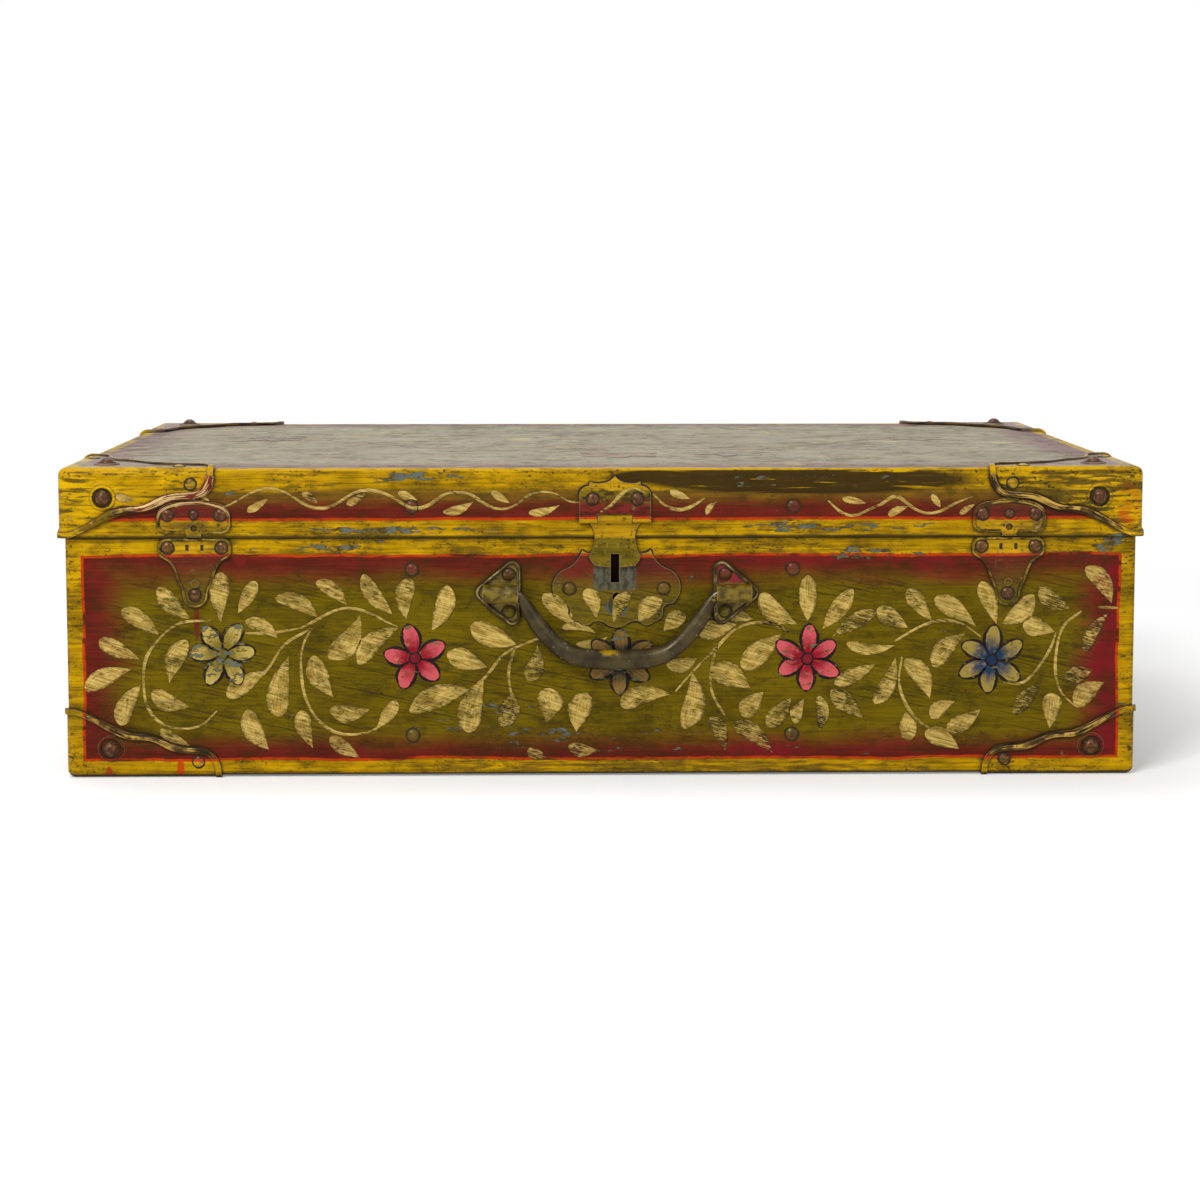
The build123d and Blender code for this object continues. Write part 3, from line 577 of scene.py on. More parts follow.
    def chip_off(self, shade: Shade, colour: Hue, on_top: Value) -> tuple[Hue, Value]:
        """Chips and scratches in the paint, and where the chips are.

        Args:
            shade: the material's tree.
            colour: the whole paint.
            on_top: 1 on the lid's top.

        Returns:
            The colour and the mask.
        """
        worn = abs(shade.z - PARTING - 1).fall(6, 18) * 0.035
        for place in self.places:
            worn = worn + shade.spot(place.x, place.z, place.wide, place.high) * place.share
        flake = shade.noise((13, 13, 3.0), 5, 23, roughness=0.62) + worn * (1 - on_top)
        chipped = flake.rise(0.715, 0.725)
        colour = shade.mix(flake.rise(0.68, 0.71) * 0.75, colour, self.rim)
        bare = shade.mix(shade.noise(5, 3, 24).rise(0.4, 0.65), self.chip, self.umber)
        colour = shade.mix(chipped, colour, bare)
        scratch = shade.noise((38, 38, 0.55), 3, 25).rise(0.7, 0.73) & shade.noise(42, 2, 26).rise(0.48, 0.62)
        return shade.mix(scratch * 0.6, colour, self.rim), chipped

    def cap_yellow(self, shade: Shade) -> Socket:
        """Yellow of the lid's caps, with dark strokes and an orange blush below."""
        yellows = self.brushed(shade, self.cap_light, self.cap_deep, 31)
        dark = shade.noise((22, 22, 2.6), 4, 32) + shade.spot(290, 180, 60, 24) * 0.12
        colour = shade.mix(dark.rise(0.56, 0.66) * 0.85, yellows, self.umber)
        blush = shade.spot(-286, 163, 26, 7) | shade.spot(322, 168, 10, 17)
        blush = blush | (shade.spot(-236, 184, 12, 8) * 0.7)
        return shade.mix(blush & shade.noise(14, 3, 33).rise(0.3, 0.55), colour, self.line_colour)


@dataclass(frozen=True)
class Finish:
    """A finish that covers whole pieces."""

    name: str
    slot: str

    def build(self, coat: ChestCoat) -> Material:
        """The finish's material."""
        raise NotImplementedError


@dataclass(frozen=True)
class PaintedSheet(Finish):
    """Painted outside, dull steel inside."""

    def build(self, coat: ChestCoat) -> Material:
        """The finish's material."""
        shade, layer = coat.begin(self.name)
        inner = coat.inside(shade)
        steel = shade.mix(shade.noise((60, 60, 30), 4, 41).rise(0.35, 0.7), coat.steel, coat.dull_steel)
        rust = shade.noise(22, 5, 42).rise(0.6, 0.72)
        steel = shade.mix(rust * 0.6, steel, coat.rust)
        layer.colour = shade.mix(inner, layer.colour, steel)
        return shade.finish(layer)


@dataclass(frozen=True)
class PaintedFitting(Finish):
    """Painted over with the walls, and rubbed to dark bronze along its edges."""

    rub: float = 0.5            # how much of the paint is rubbed away
    metal: Colour = srgb(84, 66, 34)
    bright: Colour = srgb(150, 128, 84)
    gloss: float = 0.1
    on_cap: bool = False

    def repaint(self, shade: Shade, coat: ChestCoat, colour: Hue) -> Hue:
        """The paint on this fitting, where it differs from the walls'."""
        return colour

    def build(self, coat: ChestCoat) -> Material:
        """The finish's material."""
        shade, layer = coat.begin(self.name, self.on_cap)
        layer.colour = self.repaint(shade, coat, layer.colour)
        edge = shade.edge(0.9)
        rubbed = (shade.noise(8, 4, 51) + edge * 0.35).rise(0.74 - self.rub * 0.3, 0.86 - self.rub * 0.3)
        bronze = shade.mix(shade.noise(3, 3, 52).rise(0.4, 0.7) | edge * 0.8, self.metal, self.bright)
        layer.colour = shade.mix(rubbed, layer.colour, bronze)
        layer.metal = rubbed * 0.45
        layer.roughness = 0.28 + shade.noise(9, 3, 53) * 0.2
        layer.gloss = self.gloss
        return shade.finish(layer)


@dataclass(frozen=True)
class RivetPaint(Finish):
    """Rivet heads painted over with what they hold, rubbed to brown on top, with painted shade round their
    feet.
    """

    rub: float = 0.5
    bronze: Colour = srgb(66, 50, 22)
    brown: Colour = srgb(104, 82, 40)

    def build(self, coat: ChestCoat) -> Material:
        """The finish's material."""
        shade, layer = coat.begin(self.name)
        rubbed = shade.noise(7, 3, 91).rise(0.62 - self.rub * 0.3, 0.70 - self.rub * 0.3)
        metal = shade.mix(shade.noise(2.2, 2, 92).rise(0.42, 0.66), self.bronze, self.brown)
        colour = shade.mix(rubbed * 0.9, layer.colour, metal)
        # painted shade: dark round the foot of each head
        layer.colour = shade.mix((1 - shade.crevice(1.6).rise(0.3, 0.9)) * 0.9, colour, coat.rim)
        layer.metal = rubbed * 0.25
        layer.roughness = 0.22 + shade.noise(3, 3, 93) * 0.18
        layer.gloss = 0.18
        return shade.finish(layer)


@dataclass(frozen=True)
class HaspPaint(PaintedFitting):
    """The hasp's tongue: yellow above the parting, olive below, rubbed bare at its foot."""

    olive: Colour = srgb(112, 96, 12)
    fleck: Colour = srgb(140, 116, 14)
    foot: Colour = srgb(80, 80, 66)
    foot_dark: Colour = srgb(54, 50, 34)

    def repaint(self, shade: Shade, coat: ChestCoat, colour: Hue) -> Hue:
        """The paint on this fitting."""
        yellows = coat.brushed(shade, coat.yellow, coat.deep_yellow, 36)
        olives = coat.brushed(shade, self.olive, coat.dark_olive, 37)
        flecks = shade.noise((2.2, 2.2, 4), 4, 38).rise(0.56, 0.64)
        olives = shade.mix(flecks * 0.5, olives, self.fleck)
        worn = shade.noise((3, 3, 2.2), 4, 39).rise(0.6, 0.66)
        both = shade.mix((shade.z + (shade.noise(4, 2, 40) - 0.5) * 2).rise(147.6, 149.4), olives, yellows)
        both = shade.mix(worn * 0.7, both, coat.rim)
        low = (shade.z + (shade.noise(5, 3, 43) - 0.5) * 5).fall(128.5, 131.5)
        return shade.mix(low * 0.9, both, shade.mix(flecks, self.foot, self.foot_dark))


@dataclass(frozen=True)
class CrownPaint(PaintedFitting):
    """The hasp's leaf: the lid's colours, with yellow on its crown and knuckles."""

    brown: Colour = srgb(112, 92, 10)
    dark_brown: Colour = srgb(60, 46, 14)
    red: Colour = srgb(112, 34, 26)
    dark_red: Colour = srgb(74, 24, 16)

    def repaint(self, shade: Shade, coat: ChestCoat, colour: Hue) -> Hue:
        """The paint on this fitting."""
        ragged = shade.z + (shade.noise((5, 5, 3), 3, 59) - 0.5) * 5
        yellows = coat.brushed(shade, coat.yellow, coat.deep_yellow, 60)
        browns = shade.mix(shade.noise((5, 5, 3), 3, 65).rise(0.4, 0.62), self.brown, self.dark_brown)
        reds = shade.mix(shade.noise((6, 6, 2), 3, 66).rise(0.4, 0.66), self.red, self.dark_red)
        colour = shade.mix(ragged.rise(168, 174), reds, browns)
        colour = shade.mix(ragged.rise(177, 179.5), colour, yellows)
        colour = shade.mix(abs(shade.z - 161.3).fall(0.3, 1.0), colour, coat.line_colour)
        colour = shade.mix(shade.z.fall(160.2, 160.8), colour, yellows)
        return shade.mix(shade.noise(1.8, 3, 67).rise(0.6, 0.66) * 0.8, colour, coat.rim)


@dataclass(frozen=True)
class LockPaint(PaintedFitting):
    """The lock plate: painted like the wall, bare where the hasp rubs it."""

    middle: float = 7.4         # of the place that the hasp rubs
    half: float = 13.0
    bare: Colour = srgb(82, 80, 64)
    bare_dark: Colour = srgb(54, 48, 30)
    flake: Colour = srgb(70, 78, 78)

    def repaint(self, shade: Shade, coat: ChestCoat, colour: Hue) -> Hue:
        """The paint on this fitting."""
        ragged = (shade.noise((5, 5, 4), 4, 44) - 0.5) * 5
        across = (abs(shade.x - self.middle) + ragged * 0.4).fall(self.half - 0.6, self.half + 0.8)
        bare = across & (shade.z + ragged).rise(114.5, 118.5) & shade.z.fall(132, 134)
        steel = shade.mix(shade.noise((3, 3, 5), 4, 45).rise(0.4, 0.66), self.bare, self.bare_dark)
        flake = shade.spot(self.middle, 106, 14, 11) * 0.2 + shade.noise((4, 4, 3), 5, 46, roughness=0.62)
        colour = shade.mix(flake.rise(0.68, 0.71) * 0.85, colour, self.flake)
        around = shade.spot(self.middle, 107, 5.2, 8).rise(0.1, 0.5)
        colour = shade.mix(around * 0.75, colour, coat.rim)
        return shade.mix(bare, colour, steel)


@dataclass(frozen=True)
class BracketPaint(PaintedFitting):
    """The handle's brackets: bronzed olive, with the red of the wall on the right one's top."""

    olive: Colour = srgb(116, 96, 22)
    dark_olive: Colour = srgb(66, 52, 14)
    red: Colour = srgb(140, 34, 40)
    dark_red: Colour = srgb(84, 24, 22)

    def repaint(self, shade: Shade, coat: ChestCoat, colour: Hue) -> Hue:
        """The paint on this fitting."""
        olives = shade.mix(shade.noise((5, 5, 4), 4, 56).rise(0.38, 0.66), self.olive, self.dark_olive)
        reds = shade.mix(shade.noise((5, 5, 4), 4, 57).rise(0.4, 0.66), self.red, self.dark_red)
        high = (shade.z + (shade.noise(5, 2, 58) - 0.5) * 8).rise(119, 122)
        return shade.mix(shade.x.rise(60, 62) & high, olives, reds)


@dataclass(frozen=True)
class RolledEdge(Finish):
    """Rolled bead, streaked dark brown, with painted shade in the hollows, brush colours along it, and gold on
    its crest: metal rubbed bright there, and a painted highlight.
    """

    dark: Colour = srgb(30, 20, 8)
    tone: Colour = srgb(90, 64, 24)
    # gold of the crest: rubbed metal, and a painted highlight
    rubbed_gold_highlight: Colour = srgb(196, 156, 70)
    yellowed: float = 0.25      # how much of the border's yellow is left
    painted: float = 0.0        # how much of the wall's paint is on it
    stripe: Colour = srgb(104, 34, 22)
    pale_stripe: Colour = srgb(190, 160, 104)

    def build(self, coat: ChestCoat) -> Material:
        """The finish's material."""
        shade, wall = coat.begin(self.name)
        along, across, up = shade.attribute("mark")
        lines = shade.join(along * 100, across * 6, 0)
        streak = shade.noise((13, 1.0, 1), 3, 47, lines)
        colour = shade.mix(streak.rise(0.38, 0.62), self.dark, self.tone)
        paint = shade.noise((7, 7, 4), 3, 46.5).rise(0.36, 0.6) * self.painted
        colour = shade.mix(paint, colour, wall.colour)
        # gold on the outward crest: metal rubbed bright there, and a painted highlight
        rubbed_crest_highlight = (up + (streak - 0.5) * 1.1).rise(0.84, 1.06) & shade.noise(9, 3, 48).rise(0.42, 0.58)
        colour = shade.mix(rubbed_crest_highlight * 0.85, colour, self.rubbed_gold_highlight)
        zone = shade.spot(-252, 174, 52, 17) & (shade.y * -1).rise(190, 196)
        stripes = shade.mix(streak.rise(0.47, 0.5), self.stripe, self.pale_stripe)
        colour = shade.mix(zone.rise(0.05, 0.3) & streak.rise(0.3, 0.42), colour, stripes)
        left = shade.noise((18, 18, 8), 3, 49).rise(0.62, 0.7) * self.yellowed
        corner = (shade.spot(-318, 160, 30, 14) | left | shade.z.fall(5, 9) * 0.8).rise(0.1, 0.4)
        colour = shade.mix(corner & shade.noise(4, 3, 50).rise(0.36, 0.5), colour, coat.deep_yellow)
        # painted shade: dark in the hollows beside the bead
        colour = shade.mix((1 - shade.crevice(2.2).rise(0.25, 0.8)) * 0.9, colour, coat.rim)
        colour = shade.mix(shade.noise(1.8, 3, 54).rise(0.62, 0.68) * 0.8, colour, coat.rim)
        height = shade.noise(2.4, 3, 55)
        return shade.finish(Layer(colour, 0.26 + streak * 0.2, rubbed_crest_highlight * 0.2, height, 0.25, 0.12))


@dataclass(frozen=True)
class BareMetal(Finish):
    """Bronzed or grey steel with painted shade in the hollows, rubbed bright on the high parts."""

    dark: Colour = srgb(52, 45, 32)
    tone: Colour = srgb(94, 82, 60)
    bright: Colour = srgb(150, 142, 138)
    tint: Colour = srgb(132, 24, 28)
    tinted: float = 0.0         # share of paint left in patches
    metal: float = 0.75
    roughness: float = 0.38
    gloss: float = 0.2
    smears: tuple[Patch, ...] = ()      # where a brush has touched it

    def build(self, coat: ChestCoat) -> Material:
        """The finish's material."""
        shade = Shade(self.name)
        cloud = shade.noise(12, 5, 61).rise(0.3, 0.72)
        colour = shade.mix(cloud, self.dark, self.tone)
        polish = (shade.noise((5, 5, 5), 3, 62) + shade.edge(1.2) * 0.3).rise(0.62, 0.82)
        colour = shade.mix(polish * 0.8, colour, self.bright)
        paint = shade.noise(5, 3, 63).rise(0.72 - self.tinted * 0.4, 0.76 - self.tinted * 0.4)
        for x, z, wide, high in self.smears:
            paint = paint | (shade.spot(x, z, wide, high) & shade.noise((6, 6, 1.2), 3, 68).rise(0.42, 0.5))
        colour = shade.mix(paint, colour, self.tint)
        # painted shade: dark in the hollows and corners
        unshaded = shade.crevice(1.4).rise(0.2, 0.75)
        colour = shade.mix((1 - unshaded) * 0.85, colour, coat.rim)
        height = shade.noise(1.6, 3, 64)
        return shade.finish(Layer(colour, self.roughness + cloud * 0.18, self.metal * (1 - paint), height, 0.2,
                                  self.gloss))


# ----------------------------------------------------------------------------- meshes
def distances(points: np.ndarray) -> np.ndarray:
    """How far each point is along a path, from its first point."""
    return np.concatenate([[0], np.cumsum(np.linalg.norm(np.diff(points, axis=0), axis=1))])


def fair_curve(points: Sequence[Point], start: Point, end: Point, count: int) -> np.ndarray:
    """A smooth curve through points, with given directions at its ends.

    Args:
        points: the points passed through.
        start: derivative at the first point, by length along the points.
        end: derivative at the last point.
        count: number of points to return.

    Returns:
        The curve's points, as an array of rows.
    """
    p = np.array(points, float)
    t = distances(p)
    h, n = np.diff(t), len(p)
    a, rhs = np.zeros((n, n)), np.zeros((n, p.shape[1]))
    slope = np.diff(p, axis=0) / h[:, None]
    a[0, 0], a[0, 1], rhs[0] = 2 * h[0], h[0], 6 * (slope[0] - start)
    a[-1, -1], a[-1, -2], rhs[-1] = 2 * h[-1], h[-1], 6 * (np.array(end) - slope[-1])
    for i in range(1, n - 1):
        a[i, i - 1], a[i, i], a[i, i + 1] = h[i - 1], 2 * (h[i - 1] + h[i]), h[i]
        rhs[i] = 6 * (slope[i] - slope[i - 1])
    bend = np.linalg.solve(a, rhs)
    rows = []
    for s in np.linspace(0, t[-1], count):
        i = min(max(int(np.searchsorted(t, s, side="right")) - 1, 0), n - 2)
        left, right = t[i + 1] - s, s - t[i]
        rows.append((bend[i] * left**3 + bend[i + 1] * right**3) / (6 * h[i])
                    + (p[i] / h[i] - bend[i] * h[i] / 6) * left
                    + (p[i + 1] / h[i] - bend[i + 1] * h[i] / 6) * right)
    return np.array(rows)


def through(points: Sequence[Point], count: int) -> np.ndarray:
    """A loose curve through points, free at its ends."""
    p = np.array(points, float)
    first, last = p[1] - p[0], p[-1] - p[-2]
    return fair_curve(points, first / np.linalg.norm(first), last / np.linalg.norm(last), count)


def make_object(name: str, vertices: np.ndarray, faces: Sequence[Sequence[int]], body: str,
                material: Material, marks: np.ndarray | None = None) -> Piece:
    """A smooth mesh piece that rides on a body.

    Args:
        name: the piece's name.
        vertices: rows of x, y and z in metres.
        faces: vertex numbers of each face.
        body: the body that it rides on.
        material: its finish.
        marks: three numbers per vertex for the shader.

    Returns:
        The object.
    """
    mesh = bpy.data.meshes.new(name)
    mesh.from_pydata(vertices.tolist(), [], faces)
    mesh.shade_smooth()
    if marks is not None:
        layer = mesh.attributes.new("mark", "FLOAT_COLOR", "POINT")
        layer.data.foreach_set("color", np.column_stack([marks, np.ones(len(marks))]).ravel())
    mesh.materials.append(material)
    piece = bpy.data.objects.new(name, mesh)
    bpy.context.scene.collection.objects.link(piece)
    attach(piece, body)
    return piece


def marks_of(*channels: np.ndarray | float) -> np.ndarray:
    """Three shader numbers for every point of a grid, from rows, columns or single numbers."""
    return np.stack(np.broadcast_arrays(*channels), -1)


def sweep(places: np.ndarray, normals: np.ndarray, half_width: np.ndarray | float, height: np.ndarray | float,
          closed: bool, segments: int = 12) -> tuple[np.ndarray, list[list[int]], np.ndarray]:
    """An oval rod along a path.

    Args:
        places: the path.
        normals: outward direction at each point of the path.
        half_width: half the oval's width across the path.
        height: half the oval's height along the normal.
        closed: whether the path ends where it starts.
        segments: corners of the oval.

    Returns:
        Vertices, faces, and marks: distance along, place across and height above the path.
    """
    if closed:
        ahead, behind = np.roll(places, -1, 0), np.roll(places, 1, 0)
    else:
        ahead, behind = np.vstack([places[1:], places[-1:]]), np.vstack([places[:1], places[:-1]])
    along = ahead - behind
    along /= np.linalg.norm(along, axis=1)[:, None]
    side = np.cross(along, normals)
    side /= np.linalg.norm(side, axis=1)[:, None]
    up = np.cross(side, along)
    turn = np.linspace(0, 2 * math.pi, segments, endpoint=False)
    wide = np.broadcast_to(half_width, len(places))[:, None, None]
    tall = np.broadcast_to(height, len(places))[:, None, None]
    rings = (places[:, None] + side[:, None] * wide * np.cos(turn)[None, :, None]
             + up[:, None] * tall * np.sin(turn)[None, :, None])
    count = len(places)
    faces = []
    for i in range(count if closed else count - 1):
        j = (i + 1) % count
        for k in range(segments):
            m = (k + 1) % segments
            faces.append([i * segments + k, i * segments + m, j * segments + m, j * segments + k])
    if not closed:
        faces.append(list(range(segments))[::-1])
        faces.append([(count - 1) * segments + k for k in range(segments)])
    marks = marks_of(distances(places)[:, None] / 100, (1 + np.cos(turn)) / 2, (1 + np.sin(turn)) / 2)
    return rings.reshape(-1, 3), faces, marks.reshape(-1, 3)


# ------------------------------------------------------------------- painted ornament
class Wall(Enum):
    """A face of the chest that carries ornament."""

    FRONT = "front"
    REAR = "rear"
    LEFT = "left"
    RIGHT = "right"
    TOP = "top"

    def ray(self, across: float, up: float) -> tuple[Vector, Vector]:
        """Where a brush comes from, and its direction, for a place seen from outside."""
        far = BRUSH_START
        return {
            Wall.FRONT: (Vector((across, -far, up)), Vector((0, 1, 0))),
            Wall.REAR: (Vector((-across, far, up)), Vector((0, -1, 0))),
            Wall.LEFT: (Vector((-far, -across, up)), Vector((1, 0, 0))),
            Wall.RIGHT: (Vector((far, across, up)), Vector((-1, 0, 0))),
            Wall.TOP: (Vector((across, up, far)), Vector((0, 0, -1)))}[self]

    @property
    def depth(self) -> float:
        """How far along its direction a brush meets the body's sheet, or the lid's top."""
        out = {Wall.LEFT: HALF_WIDTH, Wall.RIGHT: HALF_WIDTH, Wall.TOP: LID_TOP}.get(self, HALF_DEPTH)
        return BRUSH_START - out * MM


@dataclass
class PaintFilm:
    """Strokes of one paint on one wall, laid over whatever is there as thin films."""

    wall: Wall
    skin: BVHTree
    lift: float = 0.16 * MM
    sunk: float = 0.06 * MM
    vertices: list[Vector] = field(default_factory=list)
    faces: list[list[int]] = field(default_factory=list)
    marks: list[tuple[float, float, float]] = field(default_factory=list)

    def lay(self, layout: Layout, grid: np.ndarray, marks: np.ndarray) -> None:
        """Adds one stroke.

        Args:
            layout: the design that the stroke belongs to.
            grid: rows by columns of places in the design.
            marks: three shader numbers for each of them.
        """
        rows, columns = grid.shape[:2]
        base = len(self.vertices)
        front, back = [], []
        depth = self.wall.depth
        for across, up in layout.place(grid).reshape(-1, 2):
            origin, aim = self.wall.ray(float(across), float(up))
            hit, _, _, distance = self.skin.ray_cast(origin, aim, self.wall.depth + BRUSH_REACH)
            if hit is not None:
                depth = distance
            hit = origin + aim * depth
            front.append(hit - aim * self.lift)
            back.append(hit + aim * self.sunk)
        self.vertices += front + back
        self.marks += [tuple(mark) for mark in marks.reshape(-1, 3)] * 2
        size = rows * columns

        def quad(i: int, j: int, offset: int) -> list[int]:
            """One cell of the grid."""
            a = base + offset + i * columns + j
            return [a, a + 1, a + columns + 1, a + columns]
        for i in range(rows - 1):
            for j in range(columns - 1):
                self.faces.append(quad(i, j, 0))
                self.faces.append(quad(i, j, size)[::-1])
        rim = list(range(columns)) + [i * columns + columns - 1 for i in range(1, rows)]
        rim += [(rows - 1) * columns + j for j in range(columns - 2, -1, -1)]
        rim += [i * columns for i in range(rows - 2, 0, -1)]
        for a, b in zip(rim, rim[1:] + rim[:1]):
            self.faces.append([base + b, base + a, base + size + a, base + size + b])

    def dry(self, name: str, body: str, material: Material) -> Piece:
        """Turns the strokes into one piece."""
        return make_object(name, np.array([tuple(v) for v in self.vertices]), self.faces, body, material,
                           np.array(self.marks))


@dataclass(frozen=True)
class Leaf:
    """A leaf from its broad end to its tip, in layout units."""

    broad: Point
    tip: Point
    width: float
    wear: float = 0.35

    def grid(self, rng: random.Random) -> Pair:
        """Points and marks of a leaf: along it, across it, and how worn it is.

        Args:
            rng: draws how the leaf differs from the next one.

        Returns:
            Rows by columns of places, and of marks.
        """
        start, tip = np.array(self.broad), np.array(self.tip)
        length = float(np.linalg.norm(tip - start))
        along = (tip - start) / length
        side = np.array([-along[1], along[0]])
        bend, lean = rng.uniform(-0.12, 0.12) * length, rng.uniform(-0.3, 0.3)
        rows, columns = max(16, int(length / 1.3)), 9
        t = (1 - np.cos(np.linspace(0, math.pi, rows))) / 2
        blunt, sharp = rng.uniform(0.5, 0.68), rng.uniform(0.92, 1.2)
        swell = (t ** blunt) * (1 - t) ** sharp
        swell = swell / swell.max() * self.width * 0.53
        waver = 1 + 0.045 * np.sin(t * rng.uniform(5, 9) + rng.uniform(0, 6))
        s = np.linspace(-1, 1, columns)
        centre = start + np.outer(t * length, along) + np.outer(4 * t * (1 - t) * bend, side)
        spread = s + lean * (1 - s * s)
        grid = centre[:, None] + side * (swell * waver)[:, None, None] * spread[None, :, None]
        return grid, marks_of(t[:, None], (s + 1) / 2, min(1.0, self.wear * rng.uniform(0.6, 1.5)))


@dataclass(frozen=True)
class Stem:
    """A stem drawn through points, in layout units."""

    points: tuple[Point, ...]
    width: float = 3.4
    wear: float = 0.42

    def grid(self, rng: random.Random) -> Pair:
        """Points and marks of a stem, thin at both ends.

        Args:
            rng: draws where the stem is thick.

        Returns:
            Rows by columns of places, and of marks.
        """
        length = sum(math.dist(a, b) for a, b in zip(self.points, self.points[1:]))
        rows = max(8, int(length / 2.4))
        bent = len(self.points) > 2
        centre = through(self.points, rows) if bent else np.linspace(*map(np.array, self.points), rows)
        t = np.linspace(0, 1, rows)
        along = np.gradient(centre, axis=0)
        along /= np.linalg.norm(along, axis=1)[:, None]
        side = np.column_stack([-along[:, 1], along[:, 0]])
        swell = self.width / 2 * (0.35 + 0.65 * np.sin(math.pi * np.clip(t * 0.94 + 0.06, 0, 1)) ** 0.6)
        swell = swell * (1 + 0.16 * np.sin(t * length * 0.11 + rng.uniform(0, 6)))
        s = np.linspace(-1, 1, 4)
        grid = centre[:, None] + side[:, None] * swell[:, None, None] * s[None, :, None]
        return grid, marks_of(np.full((rows, 1), 0.5), (s + 1) / 2, self.wear)


class Bloom(Enum):
    """How a flower's petals are painted."""

    PINK = "pink"
    BLUE = "blue"
    CREAM = "cream"
    DUSK = "dusk"


@dataclass(frozen=True)
class Flower:
    """A flower: its middle, reach and number of petals, in layout units and degrees."""

    middle: Point
    reach: float
    petals: int
    turn: float
    bloom: Bloom
    wear: float = 0.2

    def petal(self, index: int, rng: random.Random) -> Pair:
        """Points and marks of a petal: along it, towards its rim, and how worn it is.

        Args:
            index: which petal.
            rng: draws how it differs from the next one.

        Returns:
            Rows by columns of places, and of marks.
        """
        angle = math.radians(self.turn + index * 360 / self.petals + rng.uniform(-5, 5))
        along = np.array([math.cos(angle), -math.sin(angle)])
        side = np.array([-along[1], along[0]])
        reach = self.reach * rng.uniform(1.0, 1.12)
        t = np.linspace(0, 1, 16)
        swell = t ** 0.85 * (1 - t) ** 0.78
        half = self.reach * (0.32 if self.petals < 6 else 0.292) * swell / swell.max() + 0.3
        s = np.linspace(-1, 1, 11)
        bow = 2.0 * rng.uniform(-1, 1) * np.sin(math.pi * t)
        centre = np.array(self.middle) + np.outer(0.10 * reach + t * 0.9 * reach, along) + np.outer(bow, side)
        grid = centre[:, None] + side * half[:, None, None] * s[None, :, None]
        tip = np.clip((t - 0.84) / 0.13, 0, 1)
        return grid, marks_of(t[:, None], np.maximum(np.abs(s)[None], tip[:, None]), self.wear)

    def heart(self, share: float) -> Pair:
        """Points and marks of the round heart.

        Args:
            share: the heart's radius as a share of the petals' reach.

        Returns:
            Rows by columns of places, and of marks.
        """
        turn = np.linspace(0, 2 * math.pi, 22)
        ring = np.linspace(0.02, 1, 6)
        circle = np.stack([np.cos(turn), np.sin(turn)], -1)
        grid = np.array(self.middle) + self.reach * share * ring[:, None, None] * circle[None]
        return grid, marks_of(np.full(len(turn), -1.0), ring[:, None], self.wear)


@dataclass
class Layout:
    """A painted design on one sheet, in units of a little over half a millimetre."""

    leaves: list[Leaf]
    stems: list[Stem]
    flowers: list[Flower]
    middle: float = 602.3       # the sheet's middle
    floor: float = 777.5        # the sheet's line that lies on the standing surface
    unit: float = 0.6174 * MM

    def between(self, low: float, high: float, middle: float) -> Layout:
        """The part of the design between two places across, on a sheet with a new middle.

        Args:
            low: left end of the part.
            high: right end of the part.
            middle: the new sheet's middle.

        Returns:
            The new layout.
        """
        def inside(*points: Point) -> bool:
            """Whether all points lie in the part."""
            return all(low <= point[0] <= high for point in points)
        return Layout([leaf for leaf in self.leaves if inside(leaf.broad, leaf.tip)],
                      [stem for stem in self.stems if inside(*stem.points)],
                      [flower for flower in self.flowers if inside(flower.middle)],
                      middle, self.floor, self.unit)

    def place(self, points: np.ndarray) -> np.ndarray:
        """Layout points on the wall, in metres."""
        return np.stack([(points[..., 0] - self.middle) * self.unit,
                         (self.floor - points[..., 1]) * self.unit], axis=-1)


@dataclass(frozen=True)
class LeafPaint:
    """Cream paint in long thin strokes, scratched through to the ground."""

    name: str = "leaf_cream"
    cream: Colour = srgb(196, 168, 92)
    straw: Colour = srgb(150, 120, 44)
    shadow: Colour = srgb(88, 70, 16)
    scar: Colour = srgb(46, 38, 12)
    wash: float = 0.0           # how thin the paint is
    extra_wear: float = 0.0

    def build(self, coat: ChestCoat) -> Material:
        """The paint's material."""
        shade, ground = coat.begin(self.name)
        along, across, wear = shade.attribute("mark")
        hair = shade.noise((0.16, 0.05, 0.4), 3, 71, shade.join(along, across, wear * 9), 0.6)
        slant = shade.join(shade.x + shade.y, shade.x * 0.0, shade.z + (shade.x + shade.y) * 0.3)
        strokes = shade.noise((15, 15, 1.3), 3, 77, slant)
        cream = shade.mix((hair * 0.45 + strokes * 0.55).rise(0.4, 0.62), self.cream, self.straw)
        rim = abs(across - 0.5).rise(0.32, 0.5) & shade.noise(2.2, 2, 72).rise(0.36, 0.56)
        cream = shade.mix(rim * 0.75 + shade.noise((9, 9, 5), 3, 73).rise(0.5, 0.72) * 0.4, cream, self.shadow)
        drag = shade.noise((6.5, 6.5, 0.55), 4, 74, slant, 0.62)
        flake = shade.noise((3.2, 3.2, 1.9), 5, 75, roughness=0.66)
        broad = shade.noise((11, 11, 7), 2, 76)
        worn = drag * 0.5 + flake * 0.5 + (broad - 0.5) * 0.22 + wear * 0.13 + self.extra_wear
        worn = worn.rise(0.6, 0.645)
        thin = (hair * 0.25 + strokes * 0.25 + broad * 0.5 + wear * 0.12).rise(0.44, 0.66) * 0.55
        dark = shade.mix(flake.rise(0.52, 0.6), self.scar, ground.colour)
        colour = shade.mix(thin, cream, ground.colour)
        colour = shade.mix(worn.most(self.wash), colour, dark)
        height = 0.7 - worn * 0.3 + hair * 0.15
        return shade.finish(Layer(colour, ground.roughness, 0.0, height))


